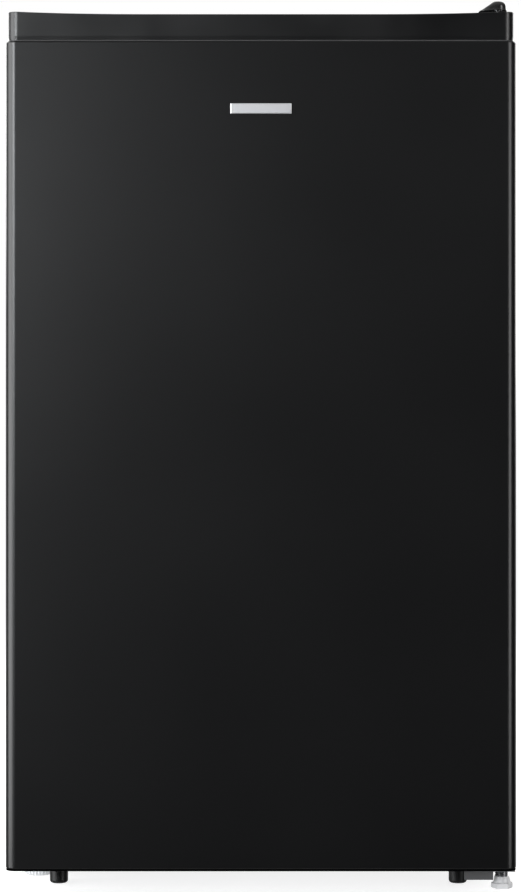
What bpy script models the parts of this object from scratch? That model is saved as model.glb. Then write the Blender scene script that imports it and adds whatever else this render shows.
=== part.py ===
"""Compact under-counter fridge with a full-height hinged door, one solid for each piece.

Metres, +Z up, front towards -Y. The origin is on the floor, under the middle of the
object's bounding box. Each named size can be set by itself: what fits against it follows.
"""

import math

import bmesh
import bpy
from mathutils import Matrix, Vector

# Overall sizes
WIDTH = 0.475  # across the top board, the widest piece
DEPTH = 0.448  # face of the badge to the wall spacers
HEIGHT = 0.831  # floor to the top of the hinge cover
FIT = 0.0003  # gap between pieces that touch
BITE = 0.0006  # how far one shape goes into another that it is joined with
THROUGH = 0.02  # how far a cutter stands out of what it cuts

# Sheets and walls
SHEET = 0.0008  # coated steel of the cabinet and the door
LINER = 0.0014  # formed plastic liners
LID_WALL = 0.0025
LID_SKIRT = 0.018
BIN_WALL = 0.002
GLASS = 0.004

# Cabinet
FLOOR_GAP = 0.030  # floor to the base plate
BASE_SHEET = 0.0012
BACK_GAP = 0.034  # back panel to the wall that the spacers reach
SIDE_INSULATION = 0.0345  # outside of the cabinet to the inside of its liner
TOP_INSULATION = 0.0535
BACK_INSULATION = 0.030
FLOOR_INSULATION = 0.032
BAY_DEPTH = 0.113  # machine bay, from its front wall to the back panel
BAY_HEIGHT = 0.174
BAY_INSULATION = 0.028
LEDGE = 0.007  # shelf ledges on the liner's side walls
LEDGE_HEIGHT = 0.005

# Door
LID_OVERHANG = 0.0014  # top board past the door on each side
DOOR_WIDTH = WIDTH - 2 * LID_OVERHANG
DOOR_DEPTH = 0.040
DOOR_BOTTOM = 0.0245  # floor to the door's lower edge
DOOR_CORNER = 0.010  # radius of the door's upright front edges
SEAL_GAP = 0.012  # door back to cabinet front
SEAL_WIDTH = 0.014
SEAL_LAP = 0.0035  # from the compartment's edge to the seal
RETURN = 0.010  # the skin's folded rear edge
FOLD_ROOM = 0.003  # kept free of foam under the skin's rolled upper edge
CAP_HEIGHT = 0.0278
CAP_INSET = 0.0020  # the top cap is this much narrower than the skin on each side
CAP_SETBACK = 0.0015  # and this much further back
CAP_DIP = 0.0031  # how far its top edge falls from the corners to the middle
CAP_FLAT_HALF = 0.100  # half the length over which that edge is level
CAP_WALL = 0.003
CAP_TO_LID = 0.0039  # cap corners to the top of the cabinet
GRIP_HALF = 0.095
GRIP_DEPTH = 0.014
GRIP_LIP = 0.007
SILL = 0.0017  # what shows of the bottom cap
BOTTOM_PLUG = 0.0105
DIKE_REACH = 0.034  # how far the door liner's raised frame enters the compartment
DIKE_WALL = 0.010
DIKE_SKIN = 0.0016
DIKE_CLEARANCE = 0.007  # frame to compartment wall
DIKE_TOP_DROP = 0.010  # and to its ceiling and floor
BADGE_WIDTH = 0.0564
BADGE_HEIGHT = 0.0095
BADGE_PROUD = 0.0012
BADGE_DROP = 0.0623  # top of the skin to the badge's middle

# Door bins
BIN_DEPTH = 0.087
BIN_HEIGHT = 0.052
BIN_SIDE_GAP = 0.0008
BOTTLE_BIN_RISE = 0.008  # over the raised frame's lower wall
UPPER_BIN_DROP = 0.146  # its floor under the raised frame's upper wall
MIDDLE_BIN_DROP = 0.190  # its floor under the upper bin's
RAIL_RADIUS = 0.0025
RAIL_RISE = 0.105
RAIL_BEND = 0.018

# Hinges
HINGE_INSET = 0.0165  # side of the cabinet to the hinge line
HINGE_SETBACK = 0.027  # door front to the hinge line
PIN_RADIUS = 0.0035
PIN_REACH = 0.013
BUSH_WALL = 0.0022
BUSH_FLANGE = 0.0075
PLAY = 0.0003  # pin to bush all round
BRACKET = 0.0022
BRACKET_GAP = 0.0018  # under the door
BRACKET_NOSE = 0.006  # in front of the hinge line
TOP_BRACKET = 0.0025
TOP_BRACKET_LENGTH = 0.090
TOP_BRACKET_WIDTH = 0.024
COVER_WALL = 0.0014
COVER_ROOM = 0.0067  # top bracket to the top of its cover
COVER_LEFT = 0.0180  # hinge line to the foot of the cover's sloping left side
DISC_RADIUS = 0.0079
DISC_RISE = 0.0015
SCREW_HEAD = 0.0042
SCREW_SHANK = 0.0021
HEAD_HEIGHT = 0.0022

# Feet
PLAIN_FOOT = 0.00865
PLAIN_FOOT_SETBACK = 0.080  # door front to the plain feet
LEFT_FOOT_INSET = 0.0447  # side of the cabinet to the left plain foot's middle
RIGHT_FOOT_INSET = 0.0496
FOOT_EDGE = 0.002  # the plain feet's rounding at the floor
KNURLED_FOOT = 0.0146
KNURLED_HEIGHT = 0.012
KNURLED_INSET = 0.0216  # side of the cabinet to the knurled foot's middle
KNURLED_SETBACK = 0.1226
KNURLS = 26
KNURL_DEPTH = 0.0009
HEX_FOOT = 0.0103
HEX_INSET = 0.0103
HEX_SETBACK = 0.052
HEX_HEIGHT = 0.0057
CONE_HEIGHT = 0.0057
STUD = 0.0066
REAR_FOOT = 0.012
REAR_FOOT_INSET = 0.030

# Inside the compartment
ICE_BOX_HEIGHT = 0.094
ICE_BOX_WALL = 0.0015
ICE_BOX_SIDE = 0.013  # ice box to the liner's side wall
FRAME_DEPTH = 0.012
FRAME_SETBACK = 0.0995  # cabinet front to the ice box frame
FLAP = 0.004
FLAP_PIN = 0.002
TRAY_HEIGHT = 0.016
SHELF_SETBACK = 0.093  # cabinet front to the shelves' front edge
TRIM_HEIGHT = 0.012
TRIM_DEPTH = 0.010
CRISPER_HEIGHT = 0.140
CRISPER_SETBACK = 0.127
CRISPER_SIDE = 0.012
HOUSING = (0.035, 0.120, 0.052)
KNOB_RADIUS = 0.015
KNOB_HEIGHT = 0.011

# Machine bay
PLATE = 0.002
PAD_HEIGHT = 0.008
COMPRESSOR_RADIUS = 0.055
COMPRESSOR_HEIGHT = 0.128
COMPRESSOR_SETBACK = 0.062  # bay's front wall to the compressor's middle
COMPRESSOR_X = 0.060
EVAPORATION_TRAY_HEIGHT = 0.016
EVAPORATION_TRAY_REACH = 0.130  # to the left of the compressor's middle
DRAIN_RADIUS = 0.006
DRAIN_X = -0.045
CONDENSER_TUBE = 0.0024
CONDENSER_PASSES = 11
CONDENSER_HALF = 0.190
CONDENSER_GAP = 0.0135  # back panel to the middle of the tube
PIPE = 0.003
DRIER_RADIUS = 0.009
DRIER_LENGTH = 0.080

# Planes and heights worked out from the sizes above
HALF = WIDTH / 2
FRONT = -DEPTH / 2 + BADGE_PROUD + FIT  # face of the door
REAR = DEPTH / 2
DOOR_HALF = DOOR_WIDTH / 2
DOOR_BACK = FRONT + DOOR_DEPTH
CABINET_FRONT = DOOR_BACK + SEAL_GAP
CABINET_BACK = REAR - BACK_GAP
LID_TOP = HEIGHT - TOP_BRACKET - FIT - COVER_ROOM
CAP_TOP = LID_TOP - CAP_TO_LID
SKIN_TOP = CAP_TOP - CAP_HEIGHT
SKIN_BACK = DOOR_BACK - LINER - FIT
SHELL_HALF = HALF - LID_WALL - FIT
SHELL_TOP = LID_TOP - LID_WALL - FIT
SHELL_INSIDE = SHELL_HALF - SHEET - FIT
BASE_TOP = FLOOR_GAP + BASE_SHEET
ROOM_HALF = HALF - SIDE_INSULATION
ROOM_TOP = LID_TOP - TOP_INSULATION
ROOM_FLOOR = FLOOR_GAP + FLOOR_INSULATION
ROOM_BACK = CABINET_BACK - BACK_INSULATION
BAY_FRONT = CABINET_BACK - BAY_DEPTH
BAY_TOP = FLOOR_GAP + BAY_HEIGHT
STEP_FRONT = BAY_FRONT - BAY_INSULATION
STEP_TOP = BAY_TOP + BAY_INSULATION
HINGE_X = HALF - HINGE_INSET
HINGE_Y = FRONT + HINGE_SETBACK
DIKE_HALF = ROOM_HALF - DIKE_CLEARANCE
DIKE_TOP = ROOM_TOP - DIKE_TOP_DROP
DIKE_FLOOR = ROOM_FLOOR + DIKE_TOP_DROP
BIN_FRONT = DOOR_BACK + FIT
BIN_HALF = DIKE_HALF - DIKE_WALL - BIN_SIDE_GAP
FRAME_FRONT = CABINET_FRONT + FRAME_SETBACK
ICE_FLOOR = ROOM_TOP - 0.006 - ICE_BOX_HEIGHT
TRAY_FLOOR = ICE_FLOOR - 0.003 - TRAY_HEIGHT
CRISPER_TOP = ROOM_FLOOR + FIT + CRISPER_HEIGHT
CRISPER_COVER = CRISPER_TOP + 0.010
SHELF_PITCH = (TRAY_FLOOR - CRISPER_COVER) / 3
SHELVES = (("lower", CRISPER_COVER + SHELF_PITCH), ("upper", CRISPER_COVER + 2 * SHELF_PITCH))
SHELF_HALF = ROOM_HALF - 0.0015
SHELF_FRONT = CABINET_FRONT + SHELF_SETBACK
SHELF_BACK = ROOM_BACK - 0.010
CRISPER_FRONT = CABINET_FRONT + CRISPER_SETBACK
PLATE_TOP = BASE_TOP + FIT + PLATE
COMPRESSOR_Y = BAY_FRONT + COMPRESSOR_SETBACK
TRAY_LEFT = COMPRESSOR_X - EVAPORATION_TRAY_REACH
COMPRESSOR_FLOOR = PLATE_TOP + PAD_HEIGHT + 2 * FIT
CONDENSER_Y = CABINET_BACK + CONDENSER_GAP
BRACKET_TOP = DOOR_BOTTOM - BRACKET_GAP

# Colour, roughness and metallic value of each finish
FINISHES = {
    "graphite_coat": ((0.045, 0.046, 0.050), 0.32, 0.55),
    "black_gloss": ((0.010, 0.010, 0.011), 0.18, 0.0),
    "black_matt": ((0.018, 0.018, 0.019), 0.60, 0.0),
    "white_plastic": ((0.82, 0.83, 0.84), 0.38, 0.0),
    "grey_seal": ((0.55, 0.56, 0.57), 0.60, 0.0),
    "foam": ((0.80, 0.70, 0.42), 0.90, 0.0),
    "galvanised": ((0.50, 0.51, 0.52), 0.42, 0.9),
    "bright_steel": ((0.68, 0.68, 0.70), 0.25, 1.0),
    "aluminium": ((0.74, 0.75, 0.76), 0.35, 1.0),
    "copper": ((0.72, 0.36, 0.22), 0.35, 1.0),
    "glass": ((0.78, 0.86, 0.84), 0.05, 0.0),
    "clear_plastic": ((0.80, 0.85, 0.88), 0.12, 0.0),
    "silver_badge": ((0.70, 0.70, 0.72), 0.30, 0.9),
}


def clear_scene():
    for obj in list(bpy.data.objects):
        bpy.data.objects.remove(obj, do_unlink=True)


def new_collection(name):
    made = bpy.data.collections.new(name)
    bpy.context.scene.collection.children.link(made)
    return made


clear_scene()
PARTS = new_collection("compact_fridge")
CUTTERS = new_collection("cutters")


def give_finish(obj, finish):
    """A material of the object's own, with the finish's values."""
    color, roughness, metallic = FINISHES[finish]
    material = bpy.data.materials.new(obj.name + "_" + finish)
    material.use_nodes = True
    shader = material.node_tree.nodes["Principled BSDF"]
    shader.inputs["Base Color"].default_value = (*color, 1.0)
    shader.inputs["Roughness"].default_value = roughness
    shader.inputs["Metallic"].default_value = metallic
    material.diffuse_color = (*color, 1.0)
    obj.data.materials.append(material)


def place_object(name, data, finish):
    """Puts the data in the scene: a part if it has a finish, and a cutter if it has none."""
    obj = bpy.data.objects.new(name, data)
    if finish:
        PARTS.objects.link(obj)
        give_finish(obj, finish)
    else:
        CUTTERS.objects.link(obj)
        obj.hide_render = True
        obj.display_type = "WIRE"
    return obj


def from_form(name, form, finish=None, smooth=False):
    """An object from a bmesh, with its origin at the middle of its box."""
    lows = [min(vert.co[axis] for vert in form.verts) for axis in range(3)]
    highs = [max(vert.co[axis] for vert in form.verts) for axis in range(3)]
    middle = (Vector(lows) + Vector(highs)) / 2
    bmesh.ops.translate(form, vec=-middle, verts=form.verts)
    mesh = bpy.data.meshes.new(name)
    form.to_mesh(mesh)
    form.free()
    if smooth:
        mesh.shade_smooth()
        mesh.set_sharp_from_angle(angle=math.radians(35))
    obj = place_object(name, mesh, finish)
    obj.location = middle
    return obj


def add_box(form, low, high):
    """A box between two corners."""
    verts = bmesh.ops.create_cube(form, size=1.0)["verts"]
    low, high = Vector(low), Vector(high)
    bmesh.ops.scale(form, vec=high - low, verts=verts)
    bmesh.ops.translate(form, vec=(low + high) / 2, verts=verts)


def add_rod(form, start, end, radius, sides=16, end_radius=None):
    """A closed cylinder between two points, or a cone if it has an end radius."""
    start, end = Vector(start), Vector(end)
    along = end - start
    turn = along.to_track_quat("Z", "Y").to_matrix().to_4x4()
    matrix = Matrix.Translation((start + end) / 2) @ turn
    tip = radius if end_radius is None else end_radius
    bmesh.ops.create_cone(
        form, cap_ends=True, segments=sides, radius1=radius, radius2=tip, depth=along.length, matrix=matrix
    )


def box(name, low, high, finish=None):
    form = bmesh.new()
    add_box(form, low, high)
    return from_form(name, form, finish)


def boxes(name, corners, finish=None):
    """One object of several boxes, for a cutter or for what is joined to a part."""
    form = bmesh.new()
    for low, high in corners:
        add_box(form, low, high)
    return from_form(name, form, finish)


def rods(name, runs, radius, finish=None, sides=16):
    form = bmesh.new()
    for start, end in runs:
        add_rod(form, start, end, radius, sides)
    return from_form(name, form, finish, smooth=True)


def open_box(name, low, high, wall, open_side, finish):
    """A box with one side left out and a wall that grows inwards."""
    form = bmesh.new()
    add_box(form, low, high)
    form.normal_update()
    gone = [face for face in form.faces if face.normal.dot(Vector(open_side)) > 0.9]
    bmesh.ops.delete(form, geom=gone, context="FACES_ONLY")
    obj = from_form(name, form, finish)
    thicken(obj, wall)
    return obj


def thicken(obj, wall, offset=-1):
    solidify = obj.modifiers.new("wall", "SOLIDIFY")
    solidify.thickness = wall
    solidify.offset = offset
    solidify.use_even_offset = True
    solidify.use_rim = True


def bevel(obj, width, segments=2, angle=40):
    rounding = obj.modifiers.new("edges", "BEVEL")
    rounding.width = width
    rounding.segments = segments
    rounding.limit_method = "ANGLE"
    rounding.angle_limit = math.radians(angle)


def boolean(obj, other, operation):
    change = obj.modifiers.new(other.name, "BOOLEAN")
    change.operation = operation
    change.object = other
    change.solver = "EXACT"


def cut(obj, *cutters):
    for cutter in cutters:
        boolean(obj, cutter, "DIFFERENCE")


def join(obj, *others):
    for other in others:
        boolean(obj, other, "UNION")


TURNS = {
    "Z": Matrix.Identity(3),
    "Y": Matrix(((1, 0, 0), (0, 0, -1), (0, 1, 0))),
    "X": Matrix(((0, 0, 1), (1, 0, 0), (0, 1, 0))),
}


def plate(name, outlines, axis, low, high, finish=None):
    """A flat piece: closed outlines in the plane across the axis, from low to high along it.

    The outline's coordinates are x, y across Z; x, z across Y; and y, z across X.
    """
    curve = bpy.data.curves.new(name, "CURVE")
    curve.dimensions = "2D"
    curve.fill_mode = "BOTH"
    curve.extrude = (high - low) / 2
    for outline in outlines:
        spline = curve.splines.new("POLY")
        spline.points.add(len(outline) - 1)
        for point, (u, v) in zip(spline.points, outline):
            point.co = (u, v, 0, 1)
        spline.use_cyclic_u = True
    turn = TURNS[axis]
    middle = (low + high) / 2
    shift = turn @ Vector((0, 0, 1)) * (-middle if axis == "Y" else middle)
    return meshed(curve, name, Matrix.Translation(shift) @ turn.to_4x4(), finish)


def meshed(curve, name, matrix, finish):
    """The curve's solid as a mesh object, with its caps welded on."""
    guide = bpy.data.objects.new(name + "_guide", curve)
    bpy.context.scene.collection.objects.link(guide)
    bpy.context.view_layer.update()
    mesh = bpy.data.meshes.new_from_object(guide.evaluated_get(bpy.context.evaluated_depsgraph_get()))
    bpy.data.objects.remove(guide)
    form = bmesh.new()
    form.from_mesh(mesh)
    bmesh.ops.remove_doubles(form, verts=form.verts, dist=0.00001)
    form.to_mesh(mesh)
    form.free()
    mesh.materials.clear()
    mesh.name = name
    obj = place_object(name, mesh, finish)
    obj.matrix_world = matrix
    return obj


def strip(name, path, axis, low, high, wall, finish, offset=-1):
    """A bent sheet: an open path, extruded along the axis, with a wall."""
    turn = TURNS[axis]
    ends = (-low, -high) if axis == "Y" else (low, high)
    form = bmesh.new()
    verts = [form.verts.new(turn @ Vector((u, v, ends[0]))) for u, v in path]
    edges = [form.edges.new(pair) for pair in zip(verts, verts[1:])]
    drawn = bmesh.ops.extrude_edge_only(form, edges=edges)["geom"]
    far = [item for item in drawn if isinstance(item, bmesh.types.BMVert)]
    bmesh.ops.translate(form, vec=turn @ Vector((0, 0, ends[1] - ends[0])), verts=far)
    obj = from_form(name, form, finish)
    thicken(obj, wall, offset)
    return obj


def turned(name, profile, centre, finish=None, steps=24, loop=False):
    """A round piece: (radius, height) points down its outer side, turned about Z."""
    mesh = bpy.data.meshes.new(name)
    edges = [(i, i + 1) for i in range(len(profile) - 1)]
    if loop:
        edges.append((len(profile) - 1, 0))
    mesh.from_pydata([(radius, 0, height) for radius, height in profile], edges, [])
    obj = place_object(name, mesh, finish)
    obj.location = centre
    screw = obj.modifiers.new("turn", "SCREW")
    screw.steps = steps
    screw.render_steps = steps
    screw.use_merge_vertices = True
    screw.merge_threshold = 0.00002
    screw.use_smooth_shade = True
    return obj


def tube(name, points, radius, finish, resolution=2):
    """A pipe or wire along the points."""
    curve = bpy.data.curves.new(name, "CURVE")
    curve.dimensions = "3D"
    curve.bevel_depth = radius
    curve.bevel_resolution = resolution
    curve.use_fill_caps = True
    spline = curve.splines.new("POLY")
    spline.points.add(len(points) - 1)
    for point, co in zip(spline.points, points):
        point.co = (*co, 1)
    return meshed(curve, name, Matrix.Identity(4), finish)


def rounded(points, radius, steps=4):
    """The path through the points, with each inner corner drawn as an arc of short straights."""
    points = [Vector(point) for point in points]
    path = [points[0]]
    for before, corner, after in zip(points, points[1:], points[2:]):
        back = (before - corner).normalized()
        ahead = (after - corner).normalized()
        half_turn = back.angle(ahead) / 2
        run = radius / math.tan(half_turn)
        centre = corner + (back + ahead).normalized() * radius / math.sin(half_turn)
        first = (corner + back * run - centre).normalized()
        last = (corner + ahead * run - centre).normalized()
        path += [centre + first.slerp(last, step / steps) * radius for step in range(steps + 1)]
    path.append(points[-1])
    return path


def arc(centre, radius, start, end, steps=4):
    """Points on an arc, with its angles in degrees."""
    angles = [math.radians(start + (end - start) * step / steps) for step in range(steps + 1)]
    return [(centre[0] + radius * math.cos(a), centre[1] + radius * math.sin(a)) for a in angles]


def door_outline(half, front, back, radius):
    """Seen from above: square at the back, with two round front corners."""
    left = arc((-half + radius, front + radius), radius, 180, 270)
    right = arc((half - radius, front + radius), radius, 270, 360)
    return [(-half, back), *left, *right, (half, back)]


def hang_on(empty_name, location, objects):
    """An empty on a joint's axis, which carries the pieces that move."""
    pivot = bpy.data.objects.new(empty_name, None)
    pivot.location = location
    pivot.empty_display_size = 0.03
    PARTS.objects.link(pivot)
    bpy.context.view_layer.update()
    for obj in objects:
        obj.parent = pivot
        obj.matrix_parent_inverse = pivot.matrix_world.inverted()


def wall_profile(front, back, floor, top, step_front, step_top):
    """The insulated walls' outline from the side, with the step over the machine bay."""
    return [
        (front, floor),
        (step_front, floor),
        (step_front, step_top),
        (back, step_top),
        (back, top),
        (front, top),
    ]


def make_shell():
    left = [(-SHELL_HALF, FLOOR_GAP), (-SHELL_HALF, SHELL_TOP)]
    path = [*left, (SHELL_HALF, SHELL_TOP), (SHELL_HALF, FLOOR_GAP)]
    front = CABINET_FRONT + LID_WALL + FIT
    return strip("cabinet_shell", path, "Y", front, CABINET_BACK, SHEET, "graphite_coat", offset=1)


def make_lid():
    low = (-HALF, CABINET_FRONT, LID_TOP - LID_SKIRT)
    high = (HALF, CABINET_BACK + LID_WALL + FIT, LID_TOP)
    return open_box("top_lid", low, high, LID_WALL, (0, 0, -1), "black_matt")


def ledge_corners():
    """Both side ledges under each shelf, the crisper's cover and the chiller tray."""
    heights = [height for _, height in SHELVES] + [CRISPER_COVER, TRAY_FLOOR]
    corners = []
    for height in heights:
        back = STEP_FRONT - 0.004 if height < STEP_TOP else SHELF_BACK
        for side in (-1, 1):
            inner, outer = side * (ROOM_HALF - LEDGE), side * (ROOM_HALF + BITE)
            low = (min(inner, outer), SHELF_FRONT + 0.002, height - FIT - LEDGE_HEIGHT)
            corners.append((low, (max(inner, outer), back, height - FIT)))
    return corners


def make_cabinet_liner():
    room = wall_profile(CABINET_FRONT - THROUGH, ROOM_BACK, ROOM_FLOOR, ROOM_TOP, STEP_FRONT, STEP_TOP)
    outside = wall_profile(
        CABINET_FRONT + BITE,
        ROOM_BACK + LINER,
        ROOM_FLOOR - LINER,
        ROOM_TOP + LINER,
        STEP_FRONT + LINER,
        STEP_TOP - LINER,
    )
    half = ROOM_HALF + LINER
    liner = plate("cabinet_liner", [outside], "X", -half, half, "white_plastic")
    flange_top = LID_TOP - LID_SKIRT - FIT
    flange = box(
        "liner_flange",
        (-SHELL_HALF, CABINET_FRONT, FLOOR_GAP),
        (SHELL_HALF, CABINET_FRONT + LINER, flange_top),
    )
    join(liner, flange)
    cut(liner, plate("room_cutter", [room], "X", -ROOM_HALF, ROOM_HALF))
    join(liner, boxes("ledges", ledge_corners()))
    return liner


def make_cabinet_foam():
    outside = wall_profile(
        CABINET_FRONT + LINER + FIT + LID_WALL,
        CABINET_BACK - SHEET - FIT,
        BASE_TOP + FIT,
        SHELL_TOP - SHEET - FIT,
        BAY_FRONT - SHEET - FIT,
        BAY_TOP + SHEET + FIT,
    )
    gap = LINER + FIT
    room = wall_profile(
        CABINET_FRONT - THROUGH,
        ROOM_BACK + gap,
        ROOM_FLOOR - gap,
        ROOM_TOP + gap,
        STEP_FRONT + gap,
        STEP_TOP - gap,
    )
    foam = plate("cabinet_foam", [outside], "X", -SHELL_INSIDE, SHELL_INSIDE, "foam")
    cut(foam, plate("foam_room_cutter", [room], "X", -ROOM_HALF - gap, ROOM_HALF + gap))
    return foam


def make_back_panel():
    low = (-SHELL_INSIDE, CABINET_BACK - SHEET, BAY_TOP + SHEET + FIT)
    return box("back_panel", low, (SHELL_INSIDE, CABINET_BACK, SHELL_TOP - SHEET - FIT), "galvanised")


def make_bay_panel():
    path = [(BAY_FRONT, BASE_TOP + FIT), (BAY_FRONT, BAY_TOP), (CABINET_BACK, BAY_TOP)]
    return strip("bay_panel", path, "X", -SHELL_INSIDE, SHELL_INSIDE, SHEET, "galvanised", offset=1)


def make_base_plate():
    rail = SHELL_INSIDE - 0.045
    front, back = CABINET_FRONT + LINER + FIT, CABINET_BACK
    pan_back = BAY_FRONT + 0.012
    outline = [
        (-SHELL_INSIDE, front),
        (SHELL_INSIDE, front),
        (SHELL_INSIDE, back),
        (rail, back),
        (rail, pan_back),
        (-rail, pan_back),
        (-rail, back),
        (-SHELL_INSIDE, back),
    ]
    return plate("base_plate", [outline], "Z", FLOOR_GAP, BASE_TOP, "galvanised")


def make_compressor():
    """A drawn steel can on a flat foot, its plate and rubber pads, and the starter cover."""
    plate_front, plate_back = COMPRESSOR_Y - 0.045, CABINET_BACK - 0.003
    box(
        "compressor_plate",
        (-SHELL_INSIDE, plate_front, BASE_TOP + FIT),
        (SHELL_INSIDE, plate_back, PLATE_TOP),
        "galvanised",
    )
    foot_half = COMPRESSOR_RADIUS + 0.020
    for side, name in ((-1, "left"), (1, "right")):
        middle = COMPRESSOR_X + side * (foot_half - 0.010)
        box(
            "compressor_pad_" + name,
            (middle - 0.010, plate_front + 0.006, PLATE_TOP + FIT),
            (middle + 0.010, plate_back - 0.006, PLATE_TOP + FIT + PAD_HEIGHT),
            "black_matt",
        )
    radius, height = COMPRESSOR_RADIUS, COMPRESSOR_HEIGHT
    crown = [(radius * math.sin(a), height - 0.030 * (1 - math.cos(a))) for a in (0.0, 0.45, 0.9, 1.3)]
    bowl = [(radius * 0.86, 0.010), (radius * 0.62, 0.003), (0, 0.001)]
    profile = [*crown, (radius, height - 0.034), (radius, 0.062), (radius + 0.003, 0.061)]
    profile += [(radius + 0.003, 0.056), (radius, 0.055), (radius, 0.030), *bowl]
    can = turned("compressor", profile, (COMPRESSOR_X, COMPRESSOR_Y, COMPRESSOR_FLOOR), "black_gloss")
    foot = box(
        "compressor_foot",
        (COMPRESSOR_X - foot_half, plate_front + 0.006, COMPRESSOR_FLOOR),
        (COMPRESSOR_X + foot_half, plate_back - 0.006, COMPRESSOR_FLOOR + 0.003),
    )
    join(can, foot)
    shelf = COMPRESSOR_X + radius + 0.003 + FIT
    box(
        "starter_cover",
        (shelf, COMPRESSOR_Y - 0.024, COMPRESSOR_FLOOR + 0.040),
        (shelf + 0.034, COMPRESSOR_Y + 0.024, COMPRESSOR_FLOOR + 0.096),
        "black_matt",
    )


def condenser_path():
    """A serpentine down the back, ending over the filter drier."""
    top = SHELL_TOP - 0.035
    pitch = (top - BAY_TOP - 0.050) / (CONDENSER_PASSES - 1)
    points = []
    for run in range(CONDENSER_PASSES):
        height = top - run * pitch
        start = CONDENSER_HALF if run % 2 == 0 else -CONDENSER_HALF
        points += [(start, CONDENSER_Y, height), (-start, CONDENSER_Y, height)]
    end_x = points[-1][0]
    tail = end_x - math.copysign(0.022, end_x)
    drop, inside = BAY_TOP - 0.012, CABINET_BACK - 0.030
    end = (tail, inside, drop - 0.032)
    points[-1] = (tail, CONDENSER_Y, points[-1][2])
    points += [(tail, CONDENSER_Y, drop), (tail, inside, drop - 0.010), end]
    return points, end


def make_cooling_circuit():
    """Condenser, drier and pipes behind the cabinet, and the pieces that hold them off the wall."""
    points, end = condenser_path()
    start = points[0]
    tube("condenser_coil", rounded(points, 0.014, 4), CONDENSER_TUBE, "black_matt")
    drier_top = end[2] - FIT
    neck = 0.012
    profile = [
        (0, 0),
        (0.0035, 0),
        (DRIER_RADIUS, -neck),
        (DRIER_RADIUS, neck - DRIER_LENGTH),
        (0.0035, -DRIER_LENGTH),
        (0, -DRIER_LENGTH),
    ]
    turned("filter_drier", profile, (end[0], end[1], drier_top), "copper", steps=16)
    side = COMPRESSOR_X + 0.042
    lift = COMPRESSOR_FLOOR + COMPRESSOR_HEIGHT
    riser = start[0] + 0.012
    route = [
        (side, COMPRESSOR_Y + 0.022, lift - 0.012),
        (side, COMPRESSOR_Y + 0.022, lift + 0.012),
        (side + 0.012, CONDENSER_Y, lift + 0.012),
        (riser, CONDENSER_Y, lift + 0.040),
        (riser, CONDENSER_Y, start[2]),
        (start[0] + FIT, CONDENSER_Y, start[2]),
    ]
    tube("discharge_pipe", rounded(route, 0.005, 3), CONDENSER_TUBE, "copper")
    height, clear = COMPRESSOR_FLOOR + 0.080, TRAY_LEFT - 0.012
    route = [
        (COMPRESSOR_X - COMPRESSOR_RADIUS - FIT, COMPRESSOR_Y, height),
        (clear, COMPRESSOR_Y, height),
        (clear, COMPRESSOR_Y, BAY_TOP - FIT),
    ]
    tube("suction_pipe", rounded(route, 0.012, 4), PIPE, "copper")
    for sign, name in ((-1, "left"), (1, "right")):
        middle = sign * CONDENSER_HALF * 0.72
        spacer = box(
            "wall_spacer_" + name,
            (middle - 0.011, CABINET_BACK + FIT, start[2] - 0.016),
            (middle + 0.011, REAR, start[2] + 0.016),
            "black_matt",
        )
        reach = CONDENSER_TUBE + FIT
        slot = box(
            "spacer_slot_" + name,
            (middle - 0.03, CONDENSER_Y - reach, start[2] - reach),
            (middle + 0.03, CONDENSER_Y + reach, start[2] + reach),
        )
        cut(spacer, slot)


def make_drain():
    """Melt water runs down a tube from the liner's step into a tray over the compressor."""
    tray_top = BAY_TOP - 0.006
    low = (TRAY_LEFT, BAY_FRONT + 0.012, tray_top - EVAPORATION_TRAY_HEIGHT)
    high = (COMPRESSOR_X + 0.036, CABINET_BACK - 0.010, tray_top)
    open_box("evaporation_tray", low, high, BIN_WALL, (0, 0, 1), "black_matt")
    middle_y = (BAY_FRONT + CABINET_BACK) / 2
    radius, wall = DRAIN_RADIUS, 0.0015
    head, foot = STEP_TOP - LINER - FIT, tray_top - 0.009
    profile = [(radius, head), (radius, foot), (radius - wall, foot), (radius - wall, head)]
    turned("drain_tube", profile, (DRAIN_X, middle_y, 0), "white_plastic", steps=16, loop=True)
    top, bottom = (DRAIN_X, middle_y, STEP_TOP + THROUGH), (DRAIN_X, middle_y, BAY_TOP - 0.004)
    way = rods("drain_way", [(top, bottom)], radius + FIT)
    mouth = rods("drain_mouth", [(top, (DRAIN_X, middle_y, STEP_TOP - THROUGH))], radius - wall)
    return way, mouth


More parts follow.
